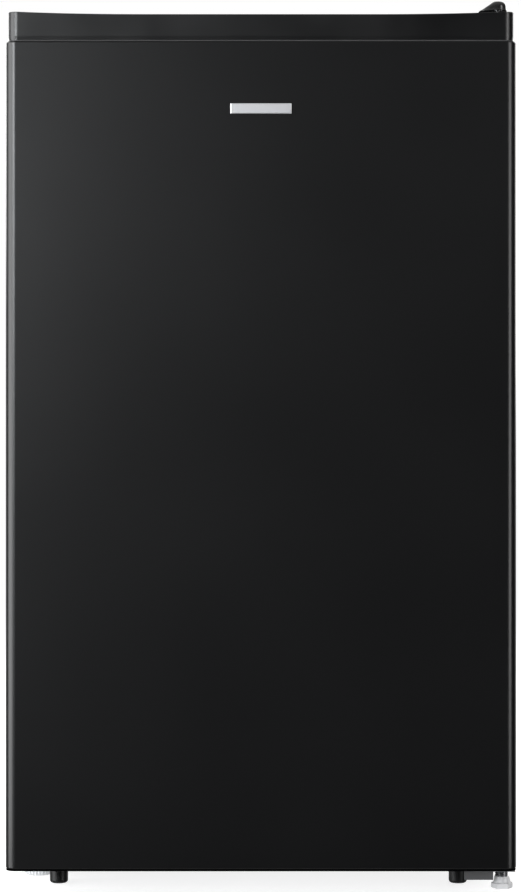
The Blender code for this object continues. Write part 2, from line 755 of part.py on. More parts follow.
def make_ice_box():
    half = ROOM_HALF - ICE_BOX_SIDE
    back = FRAME_FRONT + FRAME_DEPTH
    low = (-half, back + FIT, ICE_FLOOR)
    high = (half, ROOM_BACK - 0.020, ICE_FLOOR + ICE_BOX_HEIGHT)
    open_box("ice_box", low, high, ICE_BOX_WALL, (0, -1, 0), "aluminium")
    mouth = half - 0.010
    frame_half = ROOM_HALF - FIT
    lintel = ICE_FLOOR + ICE_BOX_HEIGHT - 0.006
    outer = [
        (-frame_half, ICE_FLOOR - 0.002),
        (frame_half, ICE_FLOOR - 0.002),
        (frame_half, ROOM_TOP - FIT),
        (-frame_half, ROOM_TOP - FIT),
    ]
    inner = [(-mouth, ICE_FLOOR + 0.004), (mouth, ICE_FLOOR + 0.004), (mouth, lintel), (-mouth, lintel)]
    frame = plate("ice_box_frame", [outer, inner], "Y", FRAME_FRONT, back, "white_plastic")
    pivot_z, pivot_y = lintel + 0.002, FRAME_FRONT - 2 * FIT - FLAP / 2
    flap_half = mouth - 0.002
    ears = [
        (
            (side * (flap_half + 0.0045) - 0.0035, pivot_y - 0.0055, pivot_z - 0.0055),
            (side * (flap_half + 0.0045) + 0.0035, FRAME_FRONT + BITE, pivot_z + 0.0055),
        )
        for side in (-1, 1)
    ]
    join(frame, boxes("flap_ears", ears))
    pin_end = flap_half + 0.006
    ends = [((-pin_end, pivot_y, pivot_z), (pin_end, pivot_y, pivot_z))]
    reach = pin_end + THROUGH
    bore = [((-reach, pivot_y, pivot_z), (reach, pivot_y, pivot_z))]
    cut(frame, rods("flap_bore", bore, FLAP_PIN + 2 * PLAY, sides=12))
    make_flap(flap_half, pivot_y, pivot_z, ends)


def make_flap(half, pivot_y, pivot_z, pin):
    bottom = ICE_FLOOR + 0.001
    flap = box(
        "ice_box_flap",
        (-half, pivot_y - FLAP / 2, bottom),
        (half, pivot_y + FLAP / 2, pivot_z + 0.0012),
        "clear_plastic",
    )
    lip = box(
        "flap_lip",
        (-0.040, pivot_y - FLAP / 2 - 0.008, bottom + 0.004),
        (0.040, pivot_y - FLAP / 2 + BITE, bottom + 0.007),
    )
    join(flap, rods("flap_pin", pin, FLAP_PIN, sides=12), lip)
    hang_on("flap_pivot", (0, pivot_y, pivot_z), [flap])


def make_shelves():
    for name, height in SHELVES:
        front = SHELF_FRONT + FIT
        box(
            name + "_shelf_glass",
            (-SHELF_HALF, front + 0.002, height),
            (SHELF_HALF, SHELF_BACK, height + GLASS),
            "glass",
        )
        trim = box(
            name + "_shelf_trim",
            (-SHELF_HALF, SHELF_FRONT - 0.002, height + GLASS / 2 - TRIM_HEIGHT / 2),
            (SHELF_HALF, SHELF_FRONT - 0.002 + TRIM_DEPTH, height + GLASS / 2 + TRIM_HEIGHT / 2),
            "white_plastic",
        )
        slot = box(
            name + "_trim_slot",
            (-HALF, front + 0.002 - FIT, height - FIT),
            (HALF, SHELF_FRONT + THROUGH, height + GLASS + FIT),
        )
        ledge_room = boxes(
            name + "_trim_notch",
            [
                ((-HALF, SHELF_FRONT + 0.002 - FIT, height - THROUGH), (-ROOM_HALF + LEDGE + FIT, 0, height)),
                ((ROOM_HALF - LEDGE - FIT, SHELF_FRONT + 0.002 - FIT, height - THROUGH), (HALF, 0, height)),
            ],
        )
        cut(trim, slot, ledge_room)
    box(
        "crisper_cover",
        (-SHELF_HALF, SHELF_FRONT, CRISPER_COVER),
        (SHELF_HALF, STEP_FRONT - 0.003, CRISPER_COVER + GLASS),
        "glass",
    )


def make_trays():
    tray_half = ROOM_HALF - 0.0015
    open_box(
        "chiller_tray",
        (-tray_half, FRAME_FRONT + 0.002, TRAY_FLOOR),
        (tray_half, ROOM_BACK - 0.025, TRAY_FLOOR + TRAY_HEIGHT),
        BIN_WALL,
        (0, 0, 1),
        "clear_plastic",
    )
    half = ROOM_HALF - CRISPER_SIDE
    drawer = open_box(
        "crisper_drawer",
        (-half, CRISPER_FRONT, ROOM_FLOOR + FIT),
        (half, STEP_FRONT - 0.005, CRISPER_TOP),
        BIN_WALL,
        (0, 0, 1),
        "clear_plastic",
    )
    lip = box(
        "drawer_lip",
        (-0.070, CRISPER_FRONT - 0.005, CRISPER_TOP - 0.012),
        (0.070, CRISPER_FRONT + BITE, CRISPER_TOP - 0.008),
    )
    join(drawer, lip)
    hang_on("crisper_slide", (0, CRISPER_FRONT, CRISPER_TOP), [drawer])


def make_thermostat():
    """A housing on the right wall, with a dial that faces the middle of the compartment."""
    width, depth, height = HOUSING
    right = ROOM_HALF - FIT
    left = right - width
    top = TRAY_FLOOR - LEDGE_HEIGHT - 0.006
    front = FRAME_FRONT + 0.020
    low, high = (left, front, top - height), (right, front + depth, top)
    housing = box("thermostat_housing", low, high, "white_plastic")
    dial_y, dial_z = front + 0.034, top - height / 2
    stem, stem_end = 0.004, left + 0.012
    hole = rods(
        "stem_hole",
        [((left - THROUGH, dial_y, dial_z), (stem_end + 0.001, dial_y, dial_z))],
        stem + 2 * PLAY,
    )
    bevel(housing, 0.004, 2)
    cut(housing, hole)
    face = KNOB_HEIGHT
    profile = [
        (0, face),
        (KNOB_RADIUS - 0.003, face),
        (KNOB_RADIUS - 0.001, face - 0.002),
        (KNOB_RADIUS, 0),
        (stem, 0),
        (stem, left - stem_end - FIT),
        (0, left - stem_end - FIT),
    ]
    knob = turned("thermostat_knob", profile, (left - FIT, dial_y, dial_z), "white_plastic", steps=20)
    knob.rotation_euler = (0, -math.pi / 2, 0)
    hang_on("knob_axis", (left, dial_y, dial_z), [knob])


def make_plain_feet():
    """Two short rubber posts at the front and two at the back."""
    front_y = FRONT + PLAIN_FOOT_SETBACK
    rear_x, rear_y = SHELL_INSIDE - REAR_FOOT_INSET, CABINET_BACK - 0.030
    places = (
        ("front_foot_left", LEFT_FOOT_INSET - HALF, front_y, PLAIN_FOOT),
        ("front_foot_right", HALF - RIGHT_FOOT_INSET, front_y, PLAIN_FOOT),
        ("rear_foot_left", -rear_x, rear_y, REAR_FOOT),
        ("rear_foot_right", rear_x, rear_y, REAR_FOOT),
    )
    for name, x, y, radius in places:
        top = FLOOR_GAP - FIT
        profile = [(0, top), (radius, top), (radius, FOOT_EDGE), (radius - FOOT_EDGE, 0), (0, 0)]
        turned(name, profile, (x, y, 0), "black_matt", steps=20)


def make_knurled_foot():
    """A hand-turned white disc on a stud, with upright ribs round its rim."""
    x, y = -HALF + KNURLED_INSET, FRONT + KNURLED_SETBACK
    outline = []
    for knurl in range(KNURLS):
        for share, depth in ((0.1, 0), (0.5, 0), (0.65, KNURL_DEPTH), (0.95, KNURL_DEPTH)):
            radius = KNURLED_FOOT - depth
            angle = 2 * math.pi * (knurl + share) / KNURLS
            outline.append((x + radius * math.cos(angle), y + radius * math.sin(angle)))
    foot = plate("levelling_foot_left", [outline], "Z", 0, KNURLED_HEIGHT, "white_plastic")
    stud = rods("left_stud", [((x, y, KNURLED_HEIGHT - BITE), (x, y, FLOOR_GAP - FIT))], STUD)
    join(foot, stud)
    hang_on("left_foot_axis", (x, y, 0), [foot])


def make_hex_foot():
    """A six-sided base, a cone and a threaded stud that runs up through the hinge bracket."""
    x, y = HALF - HEX_INSET, FRONT + HEX_SETBACK
    angles = [math.pi * corner / 3 for corner in range(6)]
    corners = [(x + HEX_FOOT * math.cos(a), y + HEX_FOOT * math.sin(a)) for a in angles]
    foot = plate("levelling_foot_right", [corners], "Z", 0, HEX_HEIGHT, "bright_steel")
    shoulder = HEX_HEIGHT + CONE_HEIGHT
    cone = bmesh.new()
    add_rod(cone, (x, y, HEX_HEIGHT - BITE), (x, y, shoulder), 0.0082, 24, 0.0072)
    stud_top = BRACKET_TOP + BRACKET_GAP / 2
    stud = rods("right_stud", [((x, y, shoulder - BITE), (x, y, stud_top))], STUD, sides=20)
    join(foot, from_form("foot_cone", cone), stud)
    hang_on("right_foot_axis", (x, y, 0), [foot])
    return rods("foot_hole", [((x, y, -THROUGH), (x, y, FLOOR_GAP + THROUGH))], STUD + 2 * PLAY, sides=20)


def make_lower_hinge(foot_hole):
    """A folded bracket under the base plate, with the door's lower pin and its screws."""
    right = HALF - 0.001
    nose, riser, back = HINGE_Y - BRACKET_NOSE, FRONT + HEX_SETBACK + 0.0125, CABINET_FRONT + 0.062
    under = FLOOR_GAP - FIT
    profile = [
        (nose, BRACKET_TOP - BRACKET),
        (riser, BRACKET_TOP - BRACKET),
        (riser, under - BRACKET),
        (back, under - BRACKET),
        (back, under),
        (riser - BRACKET, under),
        (riser - BRACKET, BRACKET_TOP),
        (nose, BRACKET_TOP),
    ]
    left = HALF - RIGHT_FOOT_INSET + PLAIN_FOOT + 0.002
    bracket = plate("lower_hinge_bracket", [profile], "X", left, right, "galvanised")
    apron_y = FRONT + HEX_SETBACK - 0.0075
    apron_right = HALF - HEX_INSET - STUD - 0.0022
    apron = box(
        "bracket_apron",
        (apron_right - 0.0272, apron_y, DOOR_BOTTOM - 0.0159),
        (apron_right, apron_y + 0.0016, BRACKET_TOP - BRACKET / 2),
    )
    shoulder = box(
        "bracket_shoulder",
        (apron_right - 0.0272, apron_y, BRACKET_TOP - BRACKET + BITE / 2),
        (left + 0.004, apron_y + 0.014, BRACKET_TOP - BITE / 2),
    )
    join(bracket, apron, shoulder)
    cut(bracket, foot_hole)
    pin_top = DOOR_BOTTOM + PIN_REACH - 0.003
    pin = [((HINGE_X, HINGE_Y, BRACKET_TOP + FIT), (HINGE_X, HINGE_Y, pin_top))]
    rods("lower_hinge_pin", pin, PIN_RADIUS, "bright_steel", 20)
    holes = []
    for number, x in enumerate((left + 0.008, right - 0.008), 1):
        y = riser + (back - riser) * 0.55
        screw("lower_hinge_screw_" + str(number), x, y, under - BRACKET - FIT, -1, under - 0.0004)
        holes.append(((x, y, under - BRACKET - THROUGH), (x, y, under + 0.0001)))
    cut(bracket, rods("lower_screw_holes", holes, SCREW_SHANK + FIT, sides=12))


def screw(name, x, y, seat, way, tip):
    """A pan head on its seat, facing the given way along Z, with a shank to the tip."""
    form = bmesh.new()
    add_rod(form, (x, y, seat), (x, y, seat + way * HEAD_HEIGHT), SCREW_HEAD, 16, SCREW_HEAD * 0.7)
    head = from_form(name, form, "bright_steel", smooth=True)
    shank = rods(name + "_shank", [((x, y, seat + way * BITE), (x, y, tip))], SCREW_SHANK, sides=12)
    join(head, shank)


def make_top_hinge(lid):
    """A flat bracket on the cabinet's top, its pin, its screws and the cover over them."""
    base = LID_TOP + FIT
    top = base + TOP_BRACKET
    half = TOP_BRACKET_WIDTH / 2
    nose = 0.0064
    rear = HINGE_Y + TOP_BRACKET_LENGTH
    left, right = HINGE_X - half + 0.0005, HINGE_X + half - 0.006
    front = arc((HINGE_X, HINGE_Y), nose, 180, 360, 8)
    outline = [*front, (right, rear), (left, rear), (left, HINGE_Y + 0.035)]
    bracket = plate("top_hinge_bracket", [outline], "Z", base, top, "galvanised")
    pin_low = CAP_TOP - PIN_REACH + 0.001
    pin = [((HINGE_X, HINGE_Y, pin_low), (HINGE_X, HINGE_Y, base - FIT))]
    rods("top_hinge_pin", pin, PIN_RADIUS, "bright_steel", 20)
    holes = []
    for number, y in enumerate((rear - 0.012, rear - 0.036), 1):
        x = HINGE_X - 0.004
        screw("top_hinge_screw_" + str(number), x, y, top + FIT, 1, LID_TOP - LID_WALL + 0.0004)
        holes.append(((x, y, top + THROUGH), (x, y, LID_TOP - LID_WALL - 0.0001)))
    drill = rods("top_screw_holes", holes, SCREW_SHANK + FIT, sides=12)
    cut(bracket, drill)
    cut(lid, drill)
    make_hinge_cover(rear)


def make_hinge_cover(rear):
    """A thin cap over the bracket: its left side slopes in, and a raised disc marks the hinge line."""
    skirt, roof = LID_TOP + FIT + COVER_WALL, HEIGHT - DISC_RISE
    form = bmesh.new()
    rings = []
    for height, left, radius, back in (
        (skirt, HINGE_X - COVER_LEFT, DISC_RADIUS + 0.0006, rear + 0.006),
        (roof, HINGE_X - DISC_RADIUS, DISC_RADIUS, rear + 0.003),
    ):
        front = arc((HINGE_X, HINGE_Y), radius, 180, 360, 10)
        outline = [(left, HINGE_Y + 0.030), *front, (HINGE_X + radius, back), (left, back)]
        rings.append([form.verts.new((x, y, height)) for x, y in outline])
    lower, upper = rings
    for i in range(len(lower)):
        j = (i + 1) % len(lower)
        form.faces.new((lower[i], lower[j], upper[j], upper[i]))
    form.faces.new(upper)
    bmesh.ops.recalc_face_normals(form, faces=form.faces)
    cover = from_form("hinge_cover", form, "black_gloss")
    thicken(cover, COVER_WALL)
    crown = bmesh.new()
    rim = DISC_RADIUS - 0.0004
    add_rod(crown, (HINGE_X, HINGE_Y, roof - BITE), (HINGE_X, HINGE_Y, HEIGHT), rim, 24, rim - 0.0006)
    join(cover, from_form("cover_disc", crown))


def make_door_skin():
    """Coated steel, folded round the front and both sides and a little way in at the back."""
    corner = DOOR_CORNER
    left = arc((-DOOR_HALF + corner, FRONT + corner), corner, 180, 270, 6)
    right = arc((DOOR_HALF - corner, FRONT + corner), corner, 270, 360, 6)
    path = [(-DOOR_HALF + RETURN, SKIN_BACK), (-DOOR_HALF, SKIN_BACK), *left, *right]
    path += [(DOOR_HALF, SKIN_BACK), (DOOR_HALF - RETURN, SKIN_BACK)]
    low = DOOR_BOTTOM + SILL + FIT
    return strip("door_skin", path, "Z", low, SKIN_TOP, SHEET, "graphite_coat", offset=1)


def make_door_foam():
    gap = SHEET + FIT
    outline = door_outline(DOOR_HALF - gap, FRONT + gap, SKIN_BACK - gap, DOOR_CORNER - SHEET)
    low = DOOR_BOTTOM + SILL + BOTTOM_PLUG + FIT
    return plate("door_foam", [outline], "Z", low, SKIN_TOP - FOLD_ROOM, "foam")


def cap_edge_points(steps=6):
    """The top edge from left to right: level in the middle, rising to both ends as x to the power 2.4."""
    half = DOOR_HALF - CAP_INSET
    rise = [
        (CAP_FLAT_HALF + (half - CAP_FLAT_HALF) * step / steps, CAP_DIP * ((step / steps) ** 2.4 - 1))
        for step in range(steps + 1)
    ]
    return [(-x, CAP_TOP + drop) for x, drop in reversed(rise)] + [(x, CAP_TOP + drop) for x, drop in rise]


def make_top_cap():
    """The door's top cap, with the finger scoop that it is opened by and the hinge bush's seat."""
    half, front = DOOR_HALF - CAP_INSET, FRONT + CAP_SETBACK
    outline = door_outline(half, front, DOOR_BACK, DOOR_CORNER)
    cap = plate("door_top_cap", [outline], "Z", SKIN_TOP + FIT, CAP_TOP + 0.001, "graphite_coat")
    edge = cap_edge_points()
    over = [(-half - THROUGH, edge[0][1]), *edge, (half + THROUGH, edge[-1][1])]
    over += [(half + THROUGH, CAP_TOP + THROUGH), (-half - THROUGH, CAP_TOP + THROUGH)]
    trim = plate("cap_top_cutter", [over], "Y", FRONT - THROUGH, CABINET_FRONT, None)
    level = CAP_TOP - CAP_DIP
    grip_floor = level - GRIP_DEPTH
    scoop = box(
        "grip_scoop",
        (-GRIP_HALF, front + GRIP_LIP, grip_floor),
        (GRIP_HALF, DOOR_BACK - 0.0045, CAP_TOP + THROUGH),
    )
    bevel(scoop, 0.005, 3)
    inner_front, inner_back = front + CAP_WALL, DOOR_BACK - CAP_WALL
    solid_end = HINGE_X - BUSH_FLANGE - 0.006
    wide, roof = DOOR_HALF - CAP_INSET - CAP_WALL, level - CAP_WALL
    under = SKIN_TOP - THROUGH
    pockets = boxes(
        "cap_pockets",
        [
            ((-wide + 0.006, inner_front + 0.006, under), (-GRIP_HALF - CAP_WALL, inner_back, roof)),
            ((GRIP_HALF + CAP_WALL, inner_front + 0.006, under), (solid_end, inner_back, roof)),
            (
                (-GRIP_HALF + 0.001, inner_front, under),
                (GRIP_HALF - 0.001, inner_back, grip_floor - CAP_WALL),
            ),
        ],
    )
    seat_radius = PIN_RADIUS + PLAY + BUSH_WALL + FIT
    seat = rods(
        "top_bush_seat",
        [((HINGE_X, HINGE_Y, CAP_TOP - PIN_REACH - 0.001), (HINGE_X, HINGE_Y, CAP_TOP + THROUGH))],
        seat_radius,
        sides=20,
    )
    cut(cap, trim, scoop, pockets, seat)
    return cap


def make_bush(name, mouth, way):
    """A flanged sleeve: its flange is on the door's outside, and its sleeve runs into the cap."""
    inner = PIN_RADIUS + PLAY
    outer = inner + BUSH_WALL
    if way < 0:
        end = mouth - PIN_REACH
        profile = [(outer, mouth - 0.0035), (outer, end), (inner, end), (inner, mouth - 0.0035)]
    else:
        end = mouth + PIN_REACH - 0.002
        flange = BRACKET_TOP + FIT
        profile = [
            (outer, end),
            (outer, mouth - FIT),
            (BUSH_FLANGE, mouth - FIT),
            (BUSH_FLANGE, flange),
            (inner, flange),
            (inner, end),
        ]
    turned(name, profile, (HINGE_X, HINGE_Y, 0), "white_plastic", steps=20, loop=True)


def make_bottom_cap():
    """Closes the skin's lower end: a thin sill that shows, and a plug inside the skin."""
    sill_outline = door_outline(DOOR_HALF - 0.0004, FRONT + 0.0004, DOOR_BACK, DOOR_CORNER)
    cap = plate("door_bottom_cap", [sill_outline], "Z", DOOR_BOTTOM, DOOR_BOTTOM + SILL, "black_matt")
    gap = SHEET + FIT
    plug_outline = door_outline(DOOR_HALF - gap, FRONT + gap, SKIN_BACK - gap, DOOR_CORNER - SHEET)
    top = DOOR_BOTTOM + SILL + BOTTOM_PLUG
    plug = plate("bottom_plug", [plug_outline], "Z", DOOR_BOTTOM + SILL - BITE, top)
    hollow = boxes(
        "bottom_plug_hollow",
        [
            (
                (-DOOR_HALF + 0.014, FRONT + 0.012, DOOR_BOTTOM + CAP_WALL),
                (HINGE_X - BUSH_FLANGE - 0.006, SKIN_BACK - 0.006, top + THROUGH),
            )
        ],
    )
    seat = rods(
        "lower_bush_seat",
        [((HINGE_X, HINGE_Y, DOOR_BOTTOM - THROUGH), (HINGE_X, HINGE_Y, DOOR_BOTTOM + PIN_REACH + THROUGH))],
        PIN_RADIUS + PLAY + BUSH_WALL + FIT,
        sides=20,
    )
    join(cap, plug)
    cut(cap, hollow, seat)
    return cap


def rectangle(half, low, high):
    return [(-half, low), (half, low), (half, high), (-half, high)]


def make_door_liner():
    """A flat sheet with a raised frame that enters the compartment and carries the bins."""
    low, high = DOOR_BOTTOM + SILL + FIT, SKIN_TOP - FIT
    sheet_half = DOOR_HALF - 0.0010
    face = DOOR_BACK - LINER
    sheet = box("door_liner", (-sheet_half, face, low), (sheet_half, DOOR_BACK, high), "white_plastic")
    outer = rectangle(DIKE_HALF, DIKE_FLOOR, DIKE_TOP)
    inner = rectangle(DIKE_HALF - DIKE_WALL, DIKE_FLOOR + DIKE_WALL, DIKE_TOP - DIKE_WALL)
    raised = plate("door_dike", [outer, inner], "Y", DOOR_BACK - BITE, DOOR_BACK + DIKE_REACH)
    skin = DIKE_SKIN
    groove_outer = rectangle(DIKE_HALF - skin, DIKE_FLOOR + skin, DIKE_TOP - skin)
    far = DIKE_WALL - skin
    groove_inner = rectangle(DIKE_HALF - far, DIKE_FLOOR + far, DIKE_TOP - far)
    outlines = [groove_outer, groove_inner]
    groove = plate("dike_groove", outlines, "Y", face - THROUGH, DOOR_BACK + DIKE_REACH - skin)
    join(sheet, raised)
    cut(sheet, groove)
    return sheet


def make_gasket():
    """The magnetic seal: a soft frame between the door and the cabinet's front."""
    inner_half = ROOM_HALF + SEAL_LAP - 0.001
    low, high = ROOM_FLOOR - SEAL_LAP, ROOM_TOP + SEAL_LAP
    inner = rectangle(inner_half, low, high)
    outer = rectangle(inner_half + SEAL_WIDTH, low - SEAL_WIDTH, high + SEAL_WIDTH)
    return plate("door_gasket", [outer, inner], "Y", DOOR_BACK + FIT, CABINET_FRONT - FIT, "grey_seal")


def make_bins():
    """Three open bins between the raised frame's sides, and a wire rail over the lowest."""
    base = DIKE_FLOOR + DIKE_WALL
    bins = []
    upper = DIKE_TOP - DIKE_WALL - UPPER_BIN_DROP
    middle = upper - MIDDLE_BIN_DROP
    floors = (("bottle_bin", base + BOTTLE_BIN_RISE), ("middle_bin", middle), ("upper_bin", upper))
    for name, floor in floors:
        low = (-BIN_HALF, BIN_FRONT, floor)
        high = (BIN_HALF, BIN_FRONT + BIN_DEPTH, floor + BIN_HEIGHT)
        bins.append(open_box(name, low, high, BIN_WALL, (0, 0, 1), "clear_plastic"))
    rail_half = BIN_HALF - RAIL_RADIUS
    height, back = base + BOTTLE_BIN_RISE + RAIL_RISE, BIN_FRONT + BIN_DEPTH - 0.006
    route = [
        (-rail_half, BIN_FRONT, height),
        (-rail_half, back, height),
        (rail_half, back, height),
        (rail_half, BIN_FRONT, height),
    ]
    bins.append(tube("bottle_rail", rounded(route, RAIL_BEND, 5), RAIL_RADIUS, "bright_steel"))
    return bins


def make_badge():
    """A plain blank bar."""
    half, middle = BADGE_WIDTH / 2, SKIN_TOP - BADGE_DROP
    low = (-half, FRONT - FIT - BADGE_PROUD, middle - BADGE_HEIGHT / 2)
    return box("door_badge", low, (half, FRONT - FIT, middle + BADGE_HEIGHT / 2), "silver_badge")


def make_door():
    pieces = [
        make_door_skin(),
        make_door_foam(),
        make_top_cap(),
        make_bottom_cap(),
        make_door_liner(),
        make_gasket(),
        make_badge(),
    ]
    make_bush("top_bush", CAP_TOP, -1)
    make_bush("lower_bush", DOOR_BOTTOM, 1)
    pieces += make_bins()
    pieces += [bpy.data.objects["top_bush"], bpy.data.objects["lower_bush"]]
    hang_on("door_pivot", (HINGE_X, HINGE_Y, 0), pieces)


def make_cabinet():
    make_shell()
    lid = make_lid()
    liner = make_cabinet_liner()
    foam = make_cabinet_foam()
    make_back_panel()
    bay_panel = make_bay_panel()
    make_base_plate()
    drain_way, drain_mouth = make_drain()
    cut(liner, drain_mouth)
    cut(foam, drain_way)
    cut(bay_panel, drain_way)
    make_top_hinge(lid)
    make_lower_hinge(make_hex_foot())
    make_knurled_foot()
    make_plain_feet()


make_cabinet()
make_compressor()
make_cooling_circuit()
make_ice_box()
make_shelves()
make_trays()
make_thermostat()
make_door()
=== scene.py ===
"""Compact fridge: the look of every piece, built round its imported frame.

Metres, +Z up, front towards -Y. A piece takes its place from the box of the CAD node that it stands for.
"""

import math

import bmesh
import bpy
import numpy as np
from bpy.props import FloatProperty, FloatVectorProperty, IntProperty, PointerProperty
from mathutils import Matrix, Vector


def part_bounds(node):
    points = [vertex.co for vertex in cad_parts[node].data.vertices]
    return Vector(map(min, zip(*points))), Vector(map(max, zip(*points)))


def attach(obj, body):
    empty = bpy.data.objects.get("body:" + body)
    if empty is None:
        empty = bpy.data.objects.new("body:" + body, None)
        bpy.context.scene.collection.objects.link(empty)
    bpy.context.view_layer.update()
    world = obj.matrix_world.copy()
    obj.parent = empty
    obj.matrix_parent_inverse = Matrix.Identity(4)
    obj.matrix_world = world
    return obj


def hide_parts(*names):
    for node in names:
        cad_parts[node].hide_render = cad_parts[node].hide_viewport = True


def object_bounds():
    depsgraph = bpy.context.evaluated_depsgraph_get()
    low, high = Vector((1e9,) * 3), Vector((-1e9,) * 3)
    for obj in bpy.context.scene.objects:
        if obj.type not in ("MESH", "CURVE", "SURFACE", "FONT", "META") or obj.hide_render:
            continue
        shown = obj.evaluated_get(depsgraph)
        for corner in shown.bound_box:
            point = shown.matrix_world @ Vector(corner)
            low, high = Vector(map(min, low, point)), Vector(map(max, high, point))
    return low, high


bl_info = {
    "name": "Compact Fridge",
    "version": (1, 0, 0),
    "blender": (4, 5, 0),
    "location": "View3D > Sidebar > Fridge",
    "description": "Builds the finished pieces, the materials and the stage of a compact fridge",
    "category": "Add Mesh",
}

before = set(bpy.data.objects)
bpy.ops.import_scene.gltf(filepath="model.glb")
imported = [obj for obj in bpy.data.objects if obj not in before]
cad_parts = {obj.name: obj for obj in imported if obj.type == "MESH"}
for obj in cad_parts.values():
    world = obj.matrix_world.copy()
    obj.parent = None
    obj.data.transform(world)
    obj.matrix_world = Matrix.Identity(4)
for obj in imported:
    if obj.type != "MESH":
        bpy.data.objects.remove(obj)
CAD_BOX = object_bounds()
BOXES = {name: tuple(np.array(corner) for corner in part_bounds(name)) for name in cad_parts}

WELD = 0.000002  # points nearer than this are one point
LEAST = 0.00005  # smallest corner radius left after an inset
LINER_WALL = 0.0014
SHEET = 0.0008
BIN_WALL = 0.002
GAP = 0.0003  # left between a finished surface and the one it faces
FLAP_PIN = 0.006  # length of each of the ice box flap's two pins
TUBE = 0.0024  # radius of the condenser's tube and of the pipe that feeds it
SCREW_HEAD = 0.0022  # height of a hinge screw's head
SIGNS = np.array([[1, 1], [-1, 1], [-1, -1], [1, -1]])
PLANES = {"Z": (0, 1, 2), "Y": (0, 2, 1), "X": (1, 2, 0)}
ORDER = {"Z": [0, 1, 2], "Y": [0, 2, 1], "X": [2, 0, 1]}


# Places read from the frame


def across(node, axis="Z"):
    """Half sizes and middle of a node's box across an axis, and its low and high ends along it."""
    low, high = BOXES[node]
    u, v, w = PLANES[axis]
    return (high - low)[[u, v]] / 2, (high + low)[[u, v]] / 2, low[w], high[w]


def part_box(node, axis, low, high):
    """The box of those points of a node that lie between low and high along an axis."""
    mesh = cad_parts[node].data
    points = np.empty(len(mesh.vertices) * 3, np.float32)
    mesh.vertices.foreach_get("co", points)
    points = points.reshape(-1, 3)
    inside = points[(points[:, axis] > low) & (points[:, axis] < high)]
    return inside.min(axis=0).astype(float), inside.max(axis=0).astype(float)


# Surfaces as functions of two parameters


def unit(vectors):
    return vectors / np.linalg.norm(vectors, axis=-1, keepdims=True)


def arc(centre, radius, start, end, steps=4):
    """Points on a circle about the centre, from one angle to another in degrees."""
    angle = np.radians(np.linspace(start, end, steps + 1))
    return np.stack([centre[0] + radius * np.cos(angle), centre[1] + radius * np.sin(angle)], axis=1)


def rounded(half, corner, centre=(0.0, 0.0), steps=6, along=0):
    """A rounded rectangle as a function of its inset.

    A ring point is its corner's sign times (half size - inset - r), plus r times a unit vector, where r is
    the corner's radius less the inset. Each straight side takes `along` more points, spaced evenly.
    """
    turn = np.linspace(0, math.pi / 2, steps + 1)
    angle = (np.arange(4)[:, None] * math.pi / 2 + turn).ravel()
    direction = np.stack([np.cos(angle), np.sin(angle)], axis=1)
    sign = np.repeat(SIGNS, steps + 1, axis=0)
    full = np.repeat(np.broadcast_to(corner, 4), steps + 1)[:, None]
    share = np.linspace(0, 1, along + 2)[1:-1, None]

    def ring(inset):
        inset = np.asarray(inset, float).reshape(-1, 1, 1)
        radius = np.maximum(full - inset, LEAST)
        points = np.asarray(centre) + sign * (np.asarray(half) - inset - radius) + direction * radius
        sides = points.reshape(len(inset), 4, steps + 1, 2)
        ahead = np.roll(sides[:, :, :1], -1, axis=1)
        filled = sides[:, :, -1:] * (1 - share) + ahead * share
        return np.concatenate([sides, filled], axis=2).reshape(len(inset), -1, 2)

    return ring


def outline(corners, radius, steps=5):
    """A closed polygon, anticlockwise, with rounded corners, as a function of its inset.

    At each corner the inward normal turns evenly from one side's to the next side's. The arc's centre is
    the corner plus or minus radius (n1 + n2) / (1 + n1.n2), and an inset moves a point along its normal.
    """
    corners = np.asarray(corners, float)
    ahead = unit(np.roll(corners, -1, axis=0) - corners)
    normal = np.stack([-ahead[:, 1], ahead[:, 0]], axis=1)
    before = np.roll(normal, 1, axis=0)
    cross = before[:, 0] * normal[:, 1] - before[:, 1] * normal[:, 0]
    side = np.where(cross >= 0, 1.0, -1.0)[:, None]
    radius = np.broadcast_to(radius, len(corners))[:, None]
    centre = corners + side * radius * (before + normal) / (1 + (before * normal).sum(axis=1, keepdims=True))
    start = np.arctan2(before[:, 1], before[:, 0])
    turn = np.arctan2(cross, (before * normal).sum(axis=1))
    angle = start[:, None] + turn[:, None] * np.linspace(0, 1, steps + 1)
    inward = np.stack([np.cos(angle), np.sin(angle)], axis=2)
    points = (centre[:, None] - (side * radius)[:, None] * inward).reshape(-1, 2)
    inward = inward.reshape(-1, 2)
    return lambda inset: points + np.asarray(inset, float).reshape(-1, 1, 1) * inward


def carried(ring, profile, axis="Z"):
    """A profile of (inset, height) points carried round an outline: one ring of points for each of them."""
    profile = np.asarray(profile, float)
    flat = ring(profile[:, 0])
    height = np.broadcast_to(profile[:, 1, None, None], (*flat.shape[:2], 1))
    return np.concatenate([flat, height], axis=2)[..., ORDER[axis]]


def block(low, high, edge, steps=3):
    """(inset, height) points up the side of a solid whose two edges are quarter circles."""
    lower = arc((edge, low + edge), edge, 270, 180, steps)
    return np.concatenate([lower, arc((edge, high - edge), edge, 180, 90, steps)])


def vessel(low, high, wall, edge, rim=0.0, rim_drop=0.005, steps=5):
    """(inset, height) points of an open box: up outside, over a round rim, and down inside to the floor."""
    lip = wall + rim
    inner = max(edge - wall / 2, wall)
    parts = [arc((edge, low + edge), edge, 270, 180, steps)]
    parts.append(arc((lip / 2, high - lip / 2), lip / 2, 180, 0, steps))
    if rim:
        parts.append(np.array([(lip, high - rim_drop), (wall, high - rim_drop - rim)]))
    parts.append(arc((wall + inner, low + wall + inner), inner, 180, 270, steps))
    return np.concatenate(parts)


